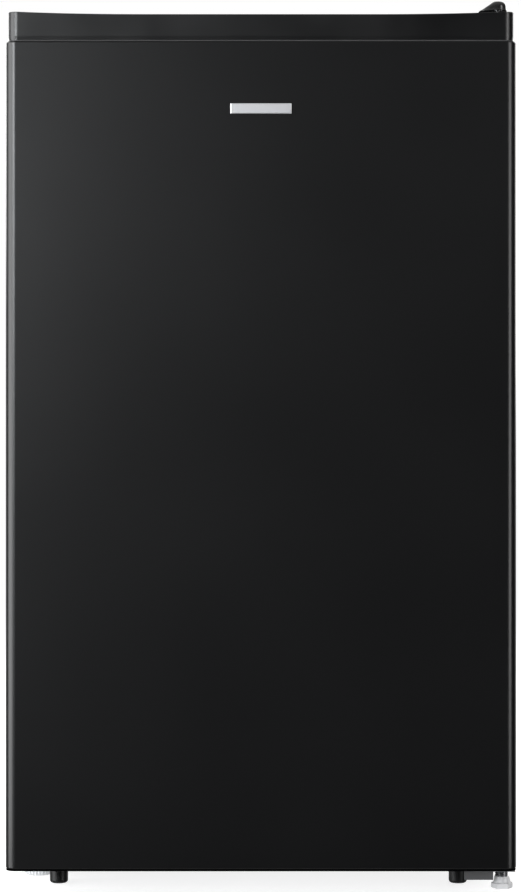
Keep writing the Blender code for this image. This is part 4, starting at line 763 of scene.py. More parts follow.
class FRIDGE_OT_cabinet(bpy.types.Operator):
    """Makes the top board, the room with its ledges, and finishes the steel panels"""

    bl_idname = "fridge.cabinet"
    bl_label = "Cabinet"

    def execute(self, context):
        half, centre, low, high = across("top_lid")
        ring = rounded(half, 0.003, centre, 6)
        board = [
            (0.0025, low), (0.0008, low), (0.0, low + 0.0008), *arc((0.003, high - 0.003), 0.003, 180, 90, 5),
        ]
        under = [(0.0045, high - 0.0025), (0.0025, high - 0.0045)]
        rings = np.concatenate([carried(ring, under), carried(ring, board)])
        piece("top_board", [skin(rings)], "black_board", replaces=["top_lid"])
        self.make_room()
        for node, width in (("base_plate", 0.0004), ("bay_panel", 0.0003), ("compressor_plate", 0.0006)):
            softened(node, width, "zinc_sheet")
        self.make_back()
        for node in ("wall_spacer_left", "wall_spacer_right"):
            softened(node, 0.0015, "black_moulding", segments=3)
        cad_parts["cabinet_shell"].data.materials[0] = bpy.data.materials["cabinet_enamel"]
        for node in ("cabinet_foam", "door_foam"):
            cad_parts[node].data.materials[0] = bpy.data.materials["foam_cells"]
        return {"FINISHED"}

    def make_room(self):
        """The room's side outline, with its step, carried from wall to wall and then cut off at the front."""
        front = BOXES["cabinet_liner"][0][1]
        low, high = part_box("cabinet_liner", 1, front + 0.02, 1.0)
        half = high[0] - LINER_WALL
        back = BOXES["cabinet_liner"][1][1] - LINER_WALL
        floor, top = low[2] + LINER_WALL, high[2] - LINER_WALL
        step_top = BOXES["drain_tube"][1][2] + LINER_WALL + GAP
        step_front = BOXES["bay_panel"][0][1] - 0.028 + 0.0008
        corner = sizes().room_corner
        start = front - 0.05
        walls = outline([(start, floor), (step_front, floor), (step_front, step_top), (back, step_top),
                         (back, top), (start, top)], (corner, corner, 0.0012, corner, corner, corner))
        side = corner * 0.9
        profile = np.concatenate([arc((side, -half + side), side, 270, 180, 5),
                                  arc((side, half - side), side, 180, 90, 5)])
        mesh = mesh_of("room", [skin(carried(walls, profile, "X"))])
        form = bmesh.new()
        form.from_mesh(mesh)
        whole = form.verts[:] + form.edges[:] + form.faces[:]
        bmesh.ops.bisect_plane(form, geom=whole, plane_co=(0, front + 0.0012, 0), plane_no=(0, 1, 0),
                               clear_inner=True)
        form.to_mesh(mesh)
        form.free()
        room = show("room_liner", mesh, "liner_plastic", "cabinet", ["cabinet_liner"])
        wall = room.modifiers.new("wall", "SOLIDIFY")
        wall.thickness = LINER_WALL - 0.0002
        wall.offset = 1.0
        wall.use_even_offset = True
        room.modifiers.move(1, 0)
        self.make_flange(front, half, floor, top, corner)
        self.make_ledges(half, front)

    def make_flange(self, front, half, floor, top, corner):
        """The liner's front rim: a flat frame whose inner edge rolls over into the room."""
        low, high = BOXES["cabinet_liner"]
        outer = rounded((high - low)[[0, 2]] / 2, 0.002, (high + low)[[0, 2]] / 2, 6)
        inner = rounded((half, (top - floor) / 2), corner * 0.9, (0.0, (top + floor) / 2), 6)
        roll = 0.0016
        rings = np.concatenate([
            carried(outer, [(0.0, front + LINER_WALL), (0.0, front + 0.0005), (0.0005, front)], "Y"),
            carried(inner, arc((-roll, front + roll), roll, 270, 360, 4), "Y"),
            carried(inner, [(-0.0006, front + roll), (-roll, front + LINER_WALL)], "Y"),
        ])
        piece("liner_flange", [skin(rings, "loop")], "liner_plastic")

    def make_ledges(self, half, front):
        """Two rounded rails on the side walls under each shelf, the crisper's cover and the chiller tray."""
        rails = []
        for node in ("lower_shelf_glass", "upper_shelf_glass", "crisper_cover", "chiller_tray"):
            low, high = BOXES[node]
            for side in (-1, 1):
                ends = sorted((side * (half + 0.0004), side * (half - 0.007)))
                rails.append(brick((ends[0], front + 0.0955, low[2] - 0.0053),
                                   (ends[1], high[1] - 0.004, low[2] - 0.0003), 0.0015, 0.0012, "Y"))
        piece("shelf_ledges", rails, "liner_plastic")

    def make_back(self):
        """The rear sheet with pressed beads: its surface stands in along five bands with smooth sides."""
        low, high = BOXES["back_panel"]
        columns, rows = 90, 120
        x = np.linspace(low[0], high[0], columns)[None, :]
        z = np.linspace(low[2], high[2], rows)[:, None]
        bead = np.zeros((rows, columns))
        for line in np.linspace(low[2] + 0.07, high[2] - 0.07, 5):
            length = np.clip((0.185 - np.abs(x)) / 0.006, 0, 1)
            width = np.clip(1 - np.abs(z - line) / 0.007, 0, 1)
            bead += length * width**2 * (3 - 2 * width)
        y = high[1] - 0.0006 * np.clip(bead, 0, 1)
        face = np.stack(np.broadcast_arrays(x, y, z), axis=2)
        rear = face.copy()
        rear[..., 1] -= high[1] - low[1] - 0.0001
        index = np.arange(rows * columns).reshape(rows, columns)
        quads = np.stack([index[:-1, :-1], index[:-1, 1:], index[1:, 1:], index[1:, :-1]],
                         axis=-1).reshape(-1, 4)
        rim = np.concatenate([index[0], index[1:, -1], index[-1, -2::-1], index[-2:0:-1, 0]])
        total = rows * columns
        strips = np.stack([rim, np.roll(rim, -1), np.roll(rim, -1) + total, rim + total], axis=-1)
        faces = quads.tolist() + (quads[:, ::-1] + total).tolist() + strips.tolist()
        sheet = (np.concatenate([face.reshape(-1, 3), rear.reshape(-1, 3)]), faces)
        piece("rear_sheet", [sheet], "zinc_sheet", replaces=["back_panel"])
        points, faces = pan_head((0.0, 0.0), 0.0, 1, 0.0036, 0.0018)
        x_places = (low[0] + 0.008, 0.0, high[0] - 0.008)
        z_places = (low[2] + 0.010, (low[2] + high[2]) / 2, high[2] - 0.010)
        middle = (x_places[1], z_places[1])
        places = [(x, high[1], z) for x in x_places for z in z_places if (x, z) != middle]
        heads = [(points[:, [0, 2, 1]] + place, faces) for place in places]
        piece("rear_screws", heads, "bright_zinc")


class FRIDGE_OT_shelves(bpy.types.Operator):
    """Makes the glass shelves, their front trims, the crisper and its cover, and the chiller tray"""

    bl_idname = "fridge.shelves"
    bl_label = "Shelves and trays"

    def execute(self, context):
        for name in ("lower_shelf", "upper_shelf"):
            piece(name + "_pane", [solid(name + "_glass", 0.003, 0.0008)], "shelf_glass",
                  replaces=[name + "_glass"])
            self.make_trim(name)
        piece("crisper_cover_pane", [solid("crisper_cover", 0.004, 0.0009)], "shelf_glass",
              replaces=["crisper_cover"])
        piece("chiller_tray_clear", [open_box("chiller_tray", 0.010, 0.003)], "bin_clear",
              replaces=["chiller_tray"])
        self.make_crisper()
        return {"FINISHED"}

    def make_trim(self, name):
        """The trim's side outline, with a round nose and a slot for the glass, carried from wall to wall."""
        low, high = BOXES[name + "_trim"]
        glass_low, glass_high = BOXES[name + "_glass"]
        slot = glass_low[1] - GAP
        side = [
            (low[1], low[2]), (slot - 0.0004, low[2]), (slot - 0.0004, glass_low[2] - 0.003),
            (slot, glass_high[2] + GAP), (high[1], glass_high[2] + GAP), (high[1], high[2]),
            (low[1], high[2]),
        ]
        radius = (0.0040, 0.0006, 0.0004, 0.0002, 0.0003, 0.0010, 0.0040)
        ring = outline(side, radius, 5)
        shape = skin(carried(ring, [(0.0003, low[0]), (0.0, low[0] + 0.0003), (0.0, high[0] - 0.0003),
                                    (0.0003, high[0])], "X"))
        piece(name + "_nose", [shape], "white_moulding", replaces=[name + "_trim"])

    def make_crisper(self):
        """An open drawer with rounded corners, upright ribs on its front and a moulded pull."""
        half, centre, low, high = across("crisper_drawer")
        front = part_box("crisper_drawer", 2, low - 0.001, low + 0.02)[0][1]
        back = centre[1] + half[1]
        middle = (0.0, (front + back) / 2)
        ring = rounded((half[0], (back - front) / 2), 0.010, middle, 8)
        walls = skin(carried(ring, vessel(low, high, BIN_WALL, 0.006, 0.0010, 0.006)))
        pull_low, pull_high = part_box("crisper_drawer", 1, BOXES["crisper_drawer"][0][1] - 0.001,
                                       front - 0.002)
        pull = brick((pull_low[0], pull_low[1], pull_low[2]), (pull_high[0], front + 0.0006, pull_high[2]),
                     0.0018, 0.0012)
        ribs = [brick((x - 0.0008, front - 0.0009, low + 0.02), (x + 0.0008, front + 0.0006, high - 0.03),
                      0.0005, 0.0005)
                for x in np.linspace(-0.15, 0.15, 13)]
        piece("crisper_clear", [walls, pull, *ribs], "bin_clear", "crisper_drawer",
              ["crisper_drawer"])


class FRIDGE_OT_ice_box(bpy.types.Operator):
    """Makes the ice box with its raised channel, its frame and its flap"""

    bl_idname = "fridge.ice_box"
    bl_label = "Ice box"

    def execute(self, context):
        half, centre, low, high = across("ice_box", "Y")
        ring = rounded(half, 0.008, centre, 8)
        wall = 0.0015
        profile = [
            *arc((0.004, high - 0.004), 0.004, 90, 180, 4), (0.0, low), (wall, low),
            *arc((0.004, high - 0.004), 0.0025, 180, 90, 4),
        ]
        shell = skin(carried(ring, profile, "Y"))
        piece("evaporator_box", [shell, *self.channels(half, centre, low, high, wall)], "evaporator_metal",
              replaces=["ice_box"])
        self.make_frame()
        self.make_flap()
        return {"FINISHED"}

    def channels(self, half, centre, low, high, wall):
        """The refrigerant's raised path on the floor and the ceiling: a flattened serpentine tube."""
        shapes = []
        for height in (centre[1] - half[1] + wall, centre[1] + half[1] - wall):
            corners = []
            for turn, y in enumerate(np.linspace(low + 0.03, high - 0.02, 7)):
                reach = 0.150 if turn % 2 else -0.150
                corners += [(-reach, y, 0.0), (reach, y, 0.0)]
            path = bend(corners, 0.0125, 6)
            points, faces = tube(path, 0.0042, 12, (0.0, 0.0, 1.0))
            points[:, 2] *= 0.35
            shapes.append((points + (0.0, 0.0, height), faces))
        return shapes

    def make_frame(self):
        """A flat frame whose opening rolls inwards, with an ear for the flap's pin at each side."""
        low, high = BOXES["ice_box_frame"]
        front, back = part_box("ice_box_frame", 2, low[2] - 0.001, low[2] + 0.003)[0][1], high[1]
        flap_side = BOXES["ice_box_flap"][1][0] - FLAP_PIN
        mouth = flap_side + 0.002
        ice_low, ice_high = BOXES["ice_box"]
        sill, lintel = ice_low[2] + 0.004, ice_high[2] - 0.006
        outer = rounded((high - low)[[0, 2]] / 2, 0.004, (high + low)[[0, 2]] / 2, 6)
        inner = rounded((mouth, (lintel - sill) / 2), 0.004, (0.0, (lintel + sill) / 2), 6)
        edge = 0.0015
        rolled = arc((-edge, front + edge), edge, 270, 360, 3)
        rings = np.concatenate([
            carried(outer, [(0.0, back), *arc((edge, front + edge), edge, 180, 270, 3)], "Y"),
            carried(inner, [*rolled, (0.0, back)], "Y"),
        ])
        pivot = lintel + 0.002
        ears = []
        for side in (-1, 1):
            near, far = sorted((side * (flap_side + 0.001), side * (flap_side + 0.008)))
            ears.append(brick((near, low[1], pivot - 0.0055), (far, front + 0.0006, pivot + 0.0055), 0.004,
                              0.0008, "X"))
        piece("ice_box_surround", [skin(rings, "loop"), *ears], "white_moulding",
              replaces=["ice_box_frame"])

    def make_flap(self):
        """A clear panel with a raised border, a lifting lip and a round pin at each upper corner."""
        low, high = BOXES["ice_box_flap"]
        panel_low, _ = part_box("ice_box_flap", 2, low[2] - 0.001, low[2] + 0.002)
        pin = 0.002
        half_x = high[0] - FLAP_PIN
        top = high[2]
        panel = brick((-half_x, panel_low[1], low[2]), (half_x, high[1], top), 0.006, 0.0009, "Y", 6)
        border = 0.004
        middle = (0.0, (low[2] + top) / 2)
        outer = rounded((half_x - border, (top - low[2]) / 2 - border), 0.005, middle, 6)
        face = panel_low[1]
        bead = skin(carried(outer, [(0.0, face + 0.0002), (0.0006, face - 0.0008), (0.0018, face - 0.0008),
                                    (0.0024, face + 0.0002)], "Y"), "loop")
        lip = brick((-0.040, low[1], low[2] + 0.004), (0.040, face + 0.0006, low[2] + 0.007), 0.0012, 0.0012)
        pivot = (panel_low[1] + high[1]) / 2, top - pin
        pins = rods([(side * (half_x - 0.001), *pivot) for side in (-1, 1)],
                    [(side * high[0], *pivot) for side in (-1, 1)], pin, 20)
        piece("ice_box_door", [panel, bead, lip, pins], "flap_clear", "ice_box_flap",
              ["ice_box_flap"])


class FRIDGE_OT_thermostat(bpy.types.Operator):
    """Makes the thermostat's housing, its ribbed dial and the generic numbers beside it"""

    bl_idname = "fridge.thermostat"
    bl_label = "Thermostat"

    def execute(self, context):
        piece("thermostat_case", [solid("thermostat_housing", 0.006, 0.004, "X")], "white_moulding",
              replaces=["thermostat_housing"])
        half, centre, face, _ = across("thermostat_knob", "X")
        radius, flutes = half[0], sizes().knob_flutes
        seat = BOXES["thermostat_housing"][0][0] - GAP
        profile = [
            (0.0, face, 0), (radius * 0.70, face, 0), (radius * 0.80, face + 0.0004, 0),
            (radius - 0.0014, face + 0.0010, 0.3), (radius - 0.0005, face + 0.0022, 1),
            (radius, seat - 0.0012, 1), (radius - 0.0003, seat, 0.6), (0.0, seat, 0),
        ]
        dial = skin(turned(profile, (0.0, *centre), "X", 8 * flutes, flutes, 0.0007))
        pointer = brick((face - 0.0006, centre[0] - 0.0011, centre[1] + 0.002),
                        (face + 0.0004, centre[0] + 0.0011, centre[1] + radius - 0.003), 0.0006, 0.0002, "X")
        piece("thermostat_dial", [dial, pointer], "white_moulding", "thermostat_knob",
              ["thermostat_knob"])
        self.make_marks(centre, radius)
        return {"FINISHED"}

    def make_marks(self, centre, radius):
        """Ticks on a circle about the dial, with the numbers 0 to 5 outside them."""
        plane = BOXES["thermostat_housing"][0][0]
        angles = np.radians(np.linspace(90, 90 - 225, 6))
        tick, tick_circle, number_circle = 0.0005, radius + 0.0018, radius + 0.0055
        ticks = []
        for angle in angles:
            y, z = centre[0] + math.cos(angle) * tick_circle, centre[1] + math.sin(angle) * tick_circle
            ticks.append(brick((plane - 0.00015, y - tick, z - tick), (plane + 0.0002, y + tick, z + tick),
                               0.0003, 0.00005, "X"))
        for number, angle in enumerate(angles):
            curve = bpy.data.curves.new("number", "FONT")
            curve.body = str(number)
            curve.size = 0.0055
            curve.extrude = 0.0001
            curve.align_x = "CENTER"
            curve.align_y = "CENTER"
            holder = bpy.data.objects.new("number", curve)
            bpy.context.scene.collection.objects.link(holder)
            graph = bpy.context.evaluated_depsgraph_get()
            mesh = bpy.data.meshes.new_from_object(holder.evaluated_get(graph))
            points = np.empty(len(mesh.vertices) * 3, np.float32)
            mesh.vertices.foreach_get("co", points)
            points = points.reshape(-1, 3).astype(float)
            y = centre[0] - points[:, 0] + math.cos(angle) * number_circle
            z = centre[1] + points[:, 1] + math.sin(angle) * number_circle
            placed = np.stack([plane - points[:, 2], y, z], axis=1)
            ticks.append((placed, [list(face.vertices) for face in mesh.polygons]))
            bpy.data.objects.remove(holder)
        piece("dial_numbers", ticks, "mark_ink")


class FRIDGE_OT_feet(bpy.types.Operator):
    """Makes the ribbed and the six-sided levelling feet and the four plain posts"""

    bl_idname = "fridge.feet"
    bl_label = "Feet"

    def execute(self, context):
        for node in ("front_foot_left", "front_foot_right", "rear_foot_left", "rear_foot_right"):
            half, centre, low, high = across(node)
            radius = half[0]
            profile = [(0.0, low), (radius * 0.55, low),
                       *arc((radius - 0.0028, low + 0.0028), 0.0028, 270, 360, 5), (radius, high - 0.0006),
                       (radius - 0.0006, high), (0.0, high)]
            piece(node + "_post", [skin(turned(profile, (*centre, 0.0), steps=64))], "foot_rubber",
                  replaces=[node])
        self.make_ribbed()
        self.make_hexagonal()
        return {"FINISHED"}

    def make_ribbed(self):
        """A dished disc whose radius loses a clipped cosine of the angle, on a threaded stud."""
        half, centre, low, high = across("levelling_foot_left")
        radius, top, flutes = half[0], 0.012, sizes().foot_flutes
        profile = [
            (0.0, low, 0), (radius * 0.55, low, 0), (radius * 0.80, low + 0.0006, 0.1),
            (radius * 0.93, low + 0.0022, 0.6), (radius, low + 0.0048, 1), (radius, top - 0.0016, 1),
            (radius - 0.0005, top - 0.0004, 0.8), (radius - 0.0014, top, 0.2), (0.0095, top + 0.0002, 0),
            (0.0085, top + 0.0014, 0), (0.0, top + 0.0016, 0),
        ]
        disc = skin(turned(profile, (*centre, 0.0), "Z", 10 * flutes, flutes, 0.0011))
        stud = thread(centre, 0.0066, 0.0007, sizes().thread_pitch, top, high)
        piece("ribbed_foot", [disc, stud], "white_moulding", "left_levelling_foot",
              ["levelling_foot_left"])

    def make_hexagonal(self):
        """A six-sided base under a short cone, on a threaded stud."""
        low, high = BOXES["levelling_foot_right"]
        centre = (low + high)[:2] / 2
        reach, height, shoulder = (high[0] - low[0]) / 2, 0.0057, 0.0114
        angle = np.arange(6) * math.pi / 3
        corners = np.stack([centre[0] + reach * np.cos(angle), centre[1] + reach * np.sin(angle)], axis=1)
        ring = outline(corners, 0.0008, 3)
        base = skin(carried(ring, [(0.0012, 0.0), (0.0003, 0.0002), (0.0, 0.0008), (0.0, height - 0.0009),
                                   (0.0004, height - 0.0003), (0.0014, height)]))
        cone = [(0.0, height - 0.0006), (0.0082, height - 0.0006), (0.0082, height + 0.0004),
                (0.0078, height + 0.0012), (0.0071, shoulder - 0.0006), (0.0066, shoulder), (0.0, shoulder)]
        stud = thread(centre, 0.0068, 0.0010, sizes().thread_pitch, shoulder - 0.0002, high[2])
        piece("hexagonal_foot", [base, skin(turned(cone, (*centre, 0.0), steps=64))], "satin_zinc",
              "right_levelling_foot", ["levelling_foot_right"], 30)
        piece("hexagonal_foot_stud", [stud], "dark_zinc", "right_levelling_foot")


class FRIDGE_OT_hinges(bpy.types.Operator):
    """Makes the hinge cover, the brackets, the pins, their bushes and the screws"""

    bl_idname = "fridge.hinges"
    bl_label = "Hinges"

    def execute(self, context):
        softened("lower_hinge_bracket", 0.0004, "bracket_paint")
        softened("top_hinge_bracket", 0.0003, "zinc_sheet")
        for node in ("lower_hinge_pin", "top_hinge_pin"):
            half, centre, low, high = across(node)
            side = [(half[0] - inset, height) for inset, height in block(low, high, 0.0006)]
            rings = turned([(0.0, low), *side, (0.0, high)], (*centre, 0.0), steps=40)
            piece(node + "_round", [skin(rings)], "bright_zinc", replaces=[node])
        for node in ("lower_bush", "top_bush"):
            self.make_bush(node)
        for node, way in (("lower_hinge_screw_1", -1), ("lower_hinge_screw_2", -1), ("top_hinge_screw_1", 1),
                          ("top_hinge_screw_2", 1)):
            half, centre, low, high = across(node)
            seat, tip = (low + SCREW_HEAD, high) if way < 0 else (high - SCREW_HEAD, low)
            head = pan_head(centre, seat, way, half[0], SCREW_HEAD)
            shank = thread(centre, 0.0021, 0.0003, 0.0008, min(seat, tip), max(seat, tip), 24)
            piece(node + "_head", [head, shank], "bright_zinc", replaces=[node])
        self.make_cover()
        return {"FINISHED"}

    def make_bush(self, node):
        """A plain sleeve for a hinge pin. The lower one has a collar that carries the door."""
        half, centre, low, high = across(node)
        bore, sleeve = 0.0038, 0.0060
        if node == "lower_bush":
            profile = [(bore, low), (half[0] - 0.0002, low), (half[0], low + 0.0003), (half[0], low + 0.0010),
                       (sleeve, low + 0.0012), (sleeve, high), (bore, high)]
        else:
            profile = [(bore, low), (sleeve, low), (sleeve, high - 0.0003), (sleeve - 0.0003, high),
                       (bore, high)]
        rings = turned(profile, (*centre, 0.0), steps=40)
        piece(node + "_sleeve", [skin(rings, "loop")], "white_moulding", "door", [node])

    def make_cover(self):
        """Plan outlines stacked up: a bead, a short wall, and a ridge with a superellipse as its section.

        The plan is half round in front. On the left a straight slope reaches further out and meets the ridge.
        """
        low, high = BOXES["hinge_cover"]
        pin_low, pin_high = BOXES["top_hinge_pin"]
        hinge = (pin_low + pin_high)[:2] / 2
        bead = 0.0006
        disc, spread = high[0] - hinge[0] - bead, hinge[0] - low[0] - bead
        foot, top, shoulder = low[2], high[2], low[2] + 0.0030
        rise = shoulder + (top - shoulder) * np.sin(np.radians([0, 12, 24, 36, 48, 58, 67, 75, 82, 88]))
        height = np.concatenate([foot + np.array([0.0, 0.0003, 0.0008, 0.0013, 0.0016, 0.0022]), rise])
        grown = np.concatenate([[bead * 0.6, bead, bead, bead * 0.6, 0.0, 0.0], np.zeros(10)])
        share = np.clip((height - shoulder) / (top - shoulder), 0, 1)
        power, slope_height = 2.5, 0.0072
        radius = disc * (1 - share**power) ** (1 / power) + grown
        slope = spread - (height - foot) * (spread - disc * 0.85) / slope_height + grown
        left = np.maximum(radius, slope)
        back = high[1] - bead - 0.006 * share + grown - hinge[1]
        angle = np.radians(np.linspace(180, 360, 25))
        wide = np.where(angle < math.radians(269.9), left[:, None], radius[:, None])
        nose = np.stack([wide * np.cos(angle), radius[:, None] * np.sin(angle)], axis=2)
        corner = 0.002 * np.sqrt(1 - share**2)
        rear = np.stack([
            np.stack([radius, back - corner], axis=1),
            np.stack([radius - corner * 0.3, back - corner * 0.3], axis=1),
            np.stack([radius - corner, back], axis=1), np.stack([corner - left, back], axis=1),
            np.stack([corner * 0.3 - left, back - corner * 0.3], axis=1),
            np.stack([-left, back - corner], axis=1),
        ], axis=1)
        plan = np.concatenate([nose, rear], axis=1) + hinge
        level = np.broadcast_to(height[:, None, None], (*plan.shape[:2], 1))
        body = skin(np.concatenate([plan, level], axis=2))
        piece("hinge_cover_shell", [body], "black_gloss", replaces=["hinge_cover"])


class FRIDGE_OT_machine_bay(bpy.types.Operator):
    """Makes the compressor with its seam, pads and starter, the trays, the drier and the pipes"""

    bl_idname = "fridge.machine_bay"
    bl_label = "Machine bay"

    def execute(self, context):
        self.make_compressor()
        for node in ("compressor_pad_left", "compressor_pad_right"):
            piece(node + "_rubber", [solid(node, 0.004, 0.0015)], "foot_rubber",
                  replaces=[node])
        piece("melt_water_tray", [open_box("evaporation_tray", 0.012, 0.003)], "black_moulding",
              replaces=["evaporation_tray"])
        half, centre, low, high = across("drain_tube")
        radius, wall = half[0], 0.0015
        rings = turned([(radius, low), (radius, high), (radius - wall, high), (radius - wall, low)],
                       (*centre, 0.0), steps=40)
        piece("drain_pipe", [skin(rings, "loop")], "white_moulding", replaces=["drain_tube"])
        half, centre, low, high = across("filter_drier")
        radius = half[0]
        profile = [(0.0, low), (0.0030, low), (0.0035, low + 0.004), (radius * 0.7, low + 0.008),
                   (radius, low + 0.013), (radius, low + 0.016), (radius - 0.0006, low + 0.0168),
                   (radius - 0.0006, low + 0.0178), (radius, low + 0.0186), (radius, high - 0.0186),
                   (radius - 0.0006, high - 0.0178), (radius - 0.0006, high - 0.0168), (radius, high - 0.016),
                   (radius, high - 0.013), (radius * 0.7, high - 0.008), (0.0035, high - 0.004),
                   (0.0030, high), (0.0, high)]
        piece("drier_body", [skin(turned(profile, (*centre, 0.0), steps=48))], "copper_pipe",
              replaces=["filter_drier"])
        self.make_pipes()
        return {"FINISHED"}

    def make_compressor(self):
        """A deep-drawn can turned about its axis, with a weld bead, on a pressed foot with four sleeves."""
        low, high = BOXES["compressor"]
        tray = BOXES["compressor_plate"]
        middle = np.array([(low[0] + high[0]) / 2, tray[0][1] + 0.045])
        radius, floor, top = 0.055, low[2], high[2]
        seam = floor + 0.0585
        crown = arc((radius - 0.034, top - 0.034), 0.034, 0, 78, 8)
        profile = np.concatenate([
            [(0.0, floor + 0.002), (radius * 0.60, floor + 0.004), (radius * 0.86, floor + 0.011),
             (radius - 0.001, floor + 0.022), (radius, floor + 0.030), (radius, seam - 0.006),
             (radius + 0.0022, seam - 0.0045), (radius + 0.003, seam - 0.002), (radius + 0.003, seam + 0.001),
             (radius + 0.0018, seam + 0.0022), (radius, seam + 0.0030)],
            crown,
            [(0.012, top - 0.0003), (0.0, top)],
        ])
        can = skin(turned(profile, (*middle, 0.0), steps=96))
        foot = brick((low[0], tray[0][1] + 0.006, floor), (high[0], tray[1][1] - 0.006, floor + 0.003), 0.012,
                     0.001)
        sleeve = [(0.0, floor + 0.0028), (0.0068, floor + 0.0028), (0.0068, floor + 0.006),
                  (0.0055, floor + 0.0072), (0.0, floor + 0.0072)]
        sleeves = []
        for x in (low[0] + 0.010, high[0] - 0.010):
            for y in (tray[0][1] + 0.016, tray[1][1] - 0.016):
                sleeves.append(skin(turned(sleeve, (x, y, 0.0), steps=32)))
        piece("compressor_can", [can, foot, *sleeves], "black_enamel", replaces=["compressor"])
        low, high = BOXES["starter_cover"]
        box = brick(low, high, 0.005, 0.003)
        ribs = [brick((high[0] - 0.0010, y - 0.001, low[2] + 0.008),
                      (high[0] + 0.0002, y + 0.001, high[2] - 0.008), 0.0006, 0.0003)
                for y in np.linspace(low[1] + 0.010, high[1] - 0.010, 5)]
        piece("starter_case", [box, *ribs], "black_moulding", replaces=["starter_cover"])

    def make_pipes(self):
        """The suction and discharge lines, each a bent tube along its node's route."""
        low, high = BOXES["suction_pipe"]
        radius, y = (high[1] - low[1]) / 2, (low[1] + high[1]) / 2
        bottom = low[2] + radius
        route = [(high[0], y, bottom), (low[0] + radius, y, bottom), (low[0] + radius, y, high[2])]
        piece("suction_line", [tube(bend(route, 0.012, 8), radius, 16)], "copper_pipe",
              replaces=["suction_pipe"])
        low, high = BOXES["discharge_pipe"]
        radius = TUBE
        coil_y, riser = high[1] - radius, high[0] - radius
        start_x, start_y = low[0] + radius, low[1] + radius
        level = low[2] + 0.024
        coil_x, coil_z = BOXES["condenser_coil"][1][0] - radius, high[2] - radius
        route = [(start_x, start_y, low[2]), (start_x, start_y, level), (start_x + 0.012, coil_y, level),
                 (riser, coil_y, level + 0.028), (riser, coil_y, coil_z), (coil_x + 0.0003, coil_y, coil_z)]
        piece("discharge_line", [tube(bend(route, 0.005, 6), radius, 14, (0.5, -0.3, 0.8))], "copper_pipe",
              replaces=["discharge_pipe"])


class FRIDGE_OT_condenser(bpy.types.Operator):
    """Makes the condenser: a serpentine tube between two rows of upright wires"""

    bl_idname = "fridge.condenser"
    bl_label = "Condenser"

    def execute(self, context):
        low, high = BOXES["condenser_coil"]
        radius = TUBE
        half, y, top = high[0] - radius, high[1] - radius, high[2] - radius
        bay_top = BOXES["suction_pipe"][1][2] + GAP
        passes = 11
        pitch = (top - bay_top - 0.050) / (passes - 1)
        heights = top - pitch * np.arange(passes)
        ends = np.where(np.arange(passes) % 2 == 0, half, -half)
        corners = np.stack([np.stack([ends, -ends], axis=1), np.repeat(heights[:, None], 2, axis=1)],
                           axis=2).reshape(-1, 2)
        points = np.insert(corners, 1, y, axis=1)
        tail, inside = -half + 0.022, BOXES["filter_drier"][0][1] + 0.009
        points[-1, 0] = tail
        drop = bay_top - 0.012
        points = [*points, (tail, y, drop), (tail, inside, drop - 0.010), (tail, inside, low[2])]
        coil = tube(bend(points, 0.014, 8), radius, 12, (0.35, 1.0, 0.2))
        x = np.arange(-half + 0.018, half - 0.017, sizes().wire_pitch)
        wire = 0.0008
        offset = radius + wire * 0.6
        x, depth = np.tile(x, 2), np.repeat([y - offset, y + offset], len(x))
        starts = np.column_stack([x, depth, np.full(len(x), heights[-1] - 0.012)])
        stops = np.column_stack([x, depth, np.full(len(x), heights[0] + 0.008)])
        wires = rods(starts, stops, wire, 8)
        piece("condenser_grid", [coil, wires], "wire_enamel", replaces=["condenser_coil"])
        return {"FINISHED"}


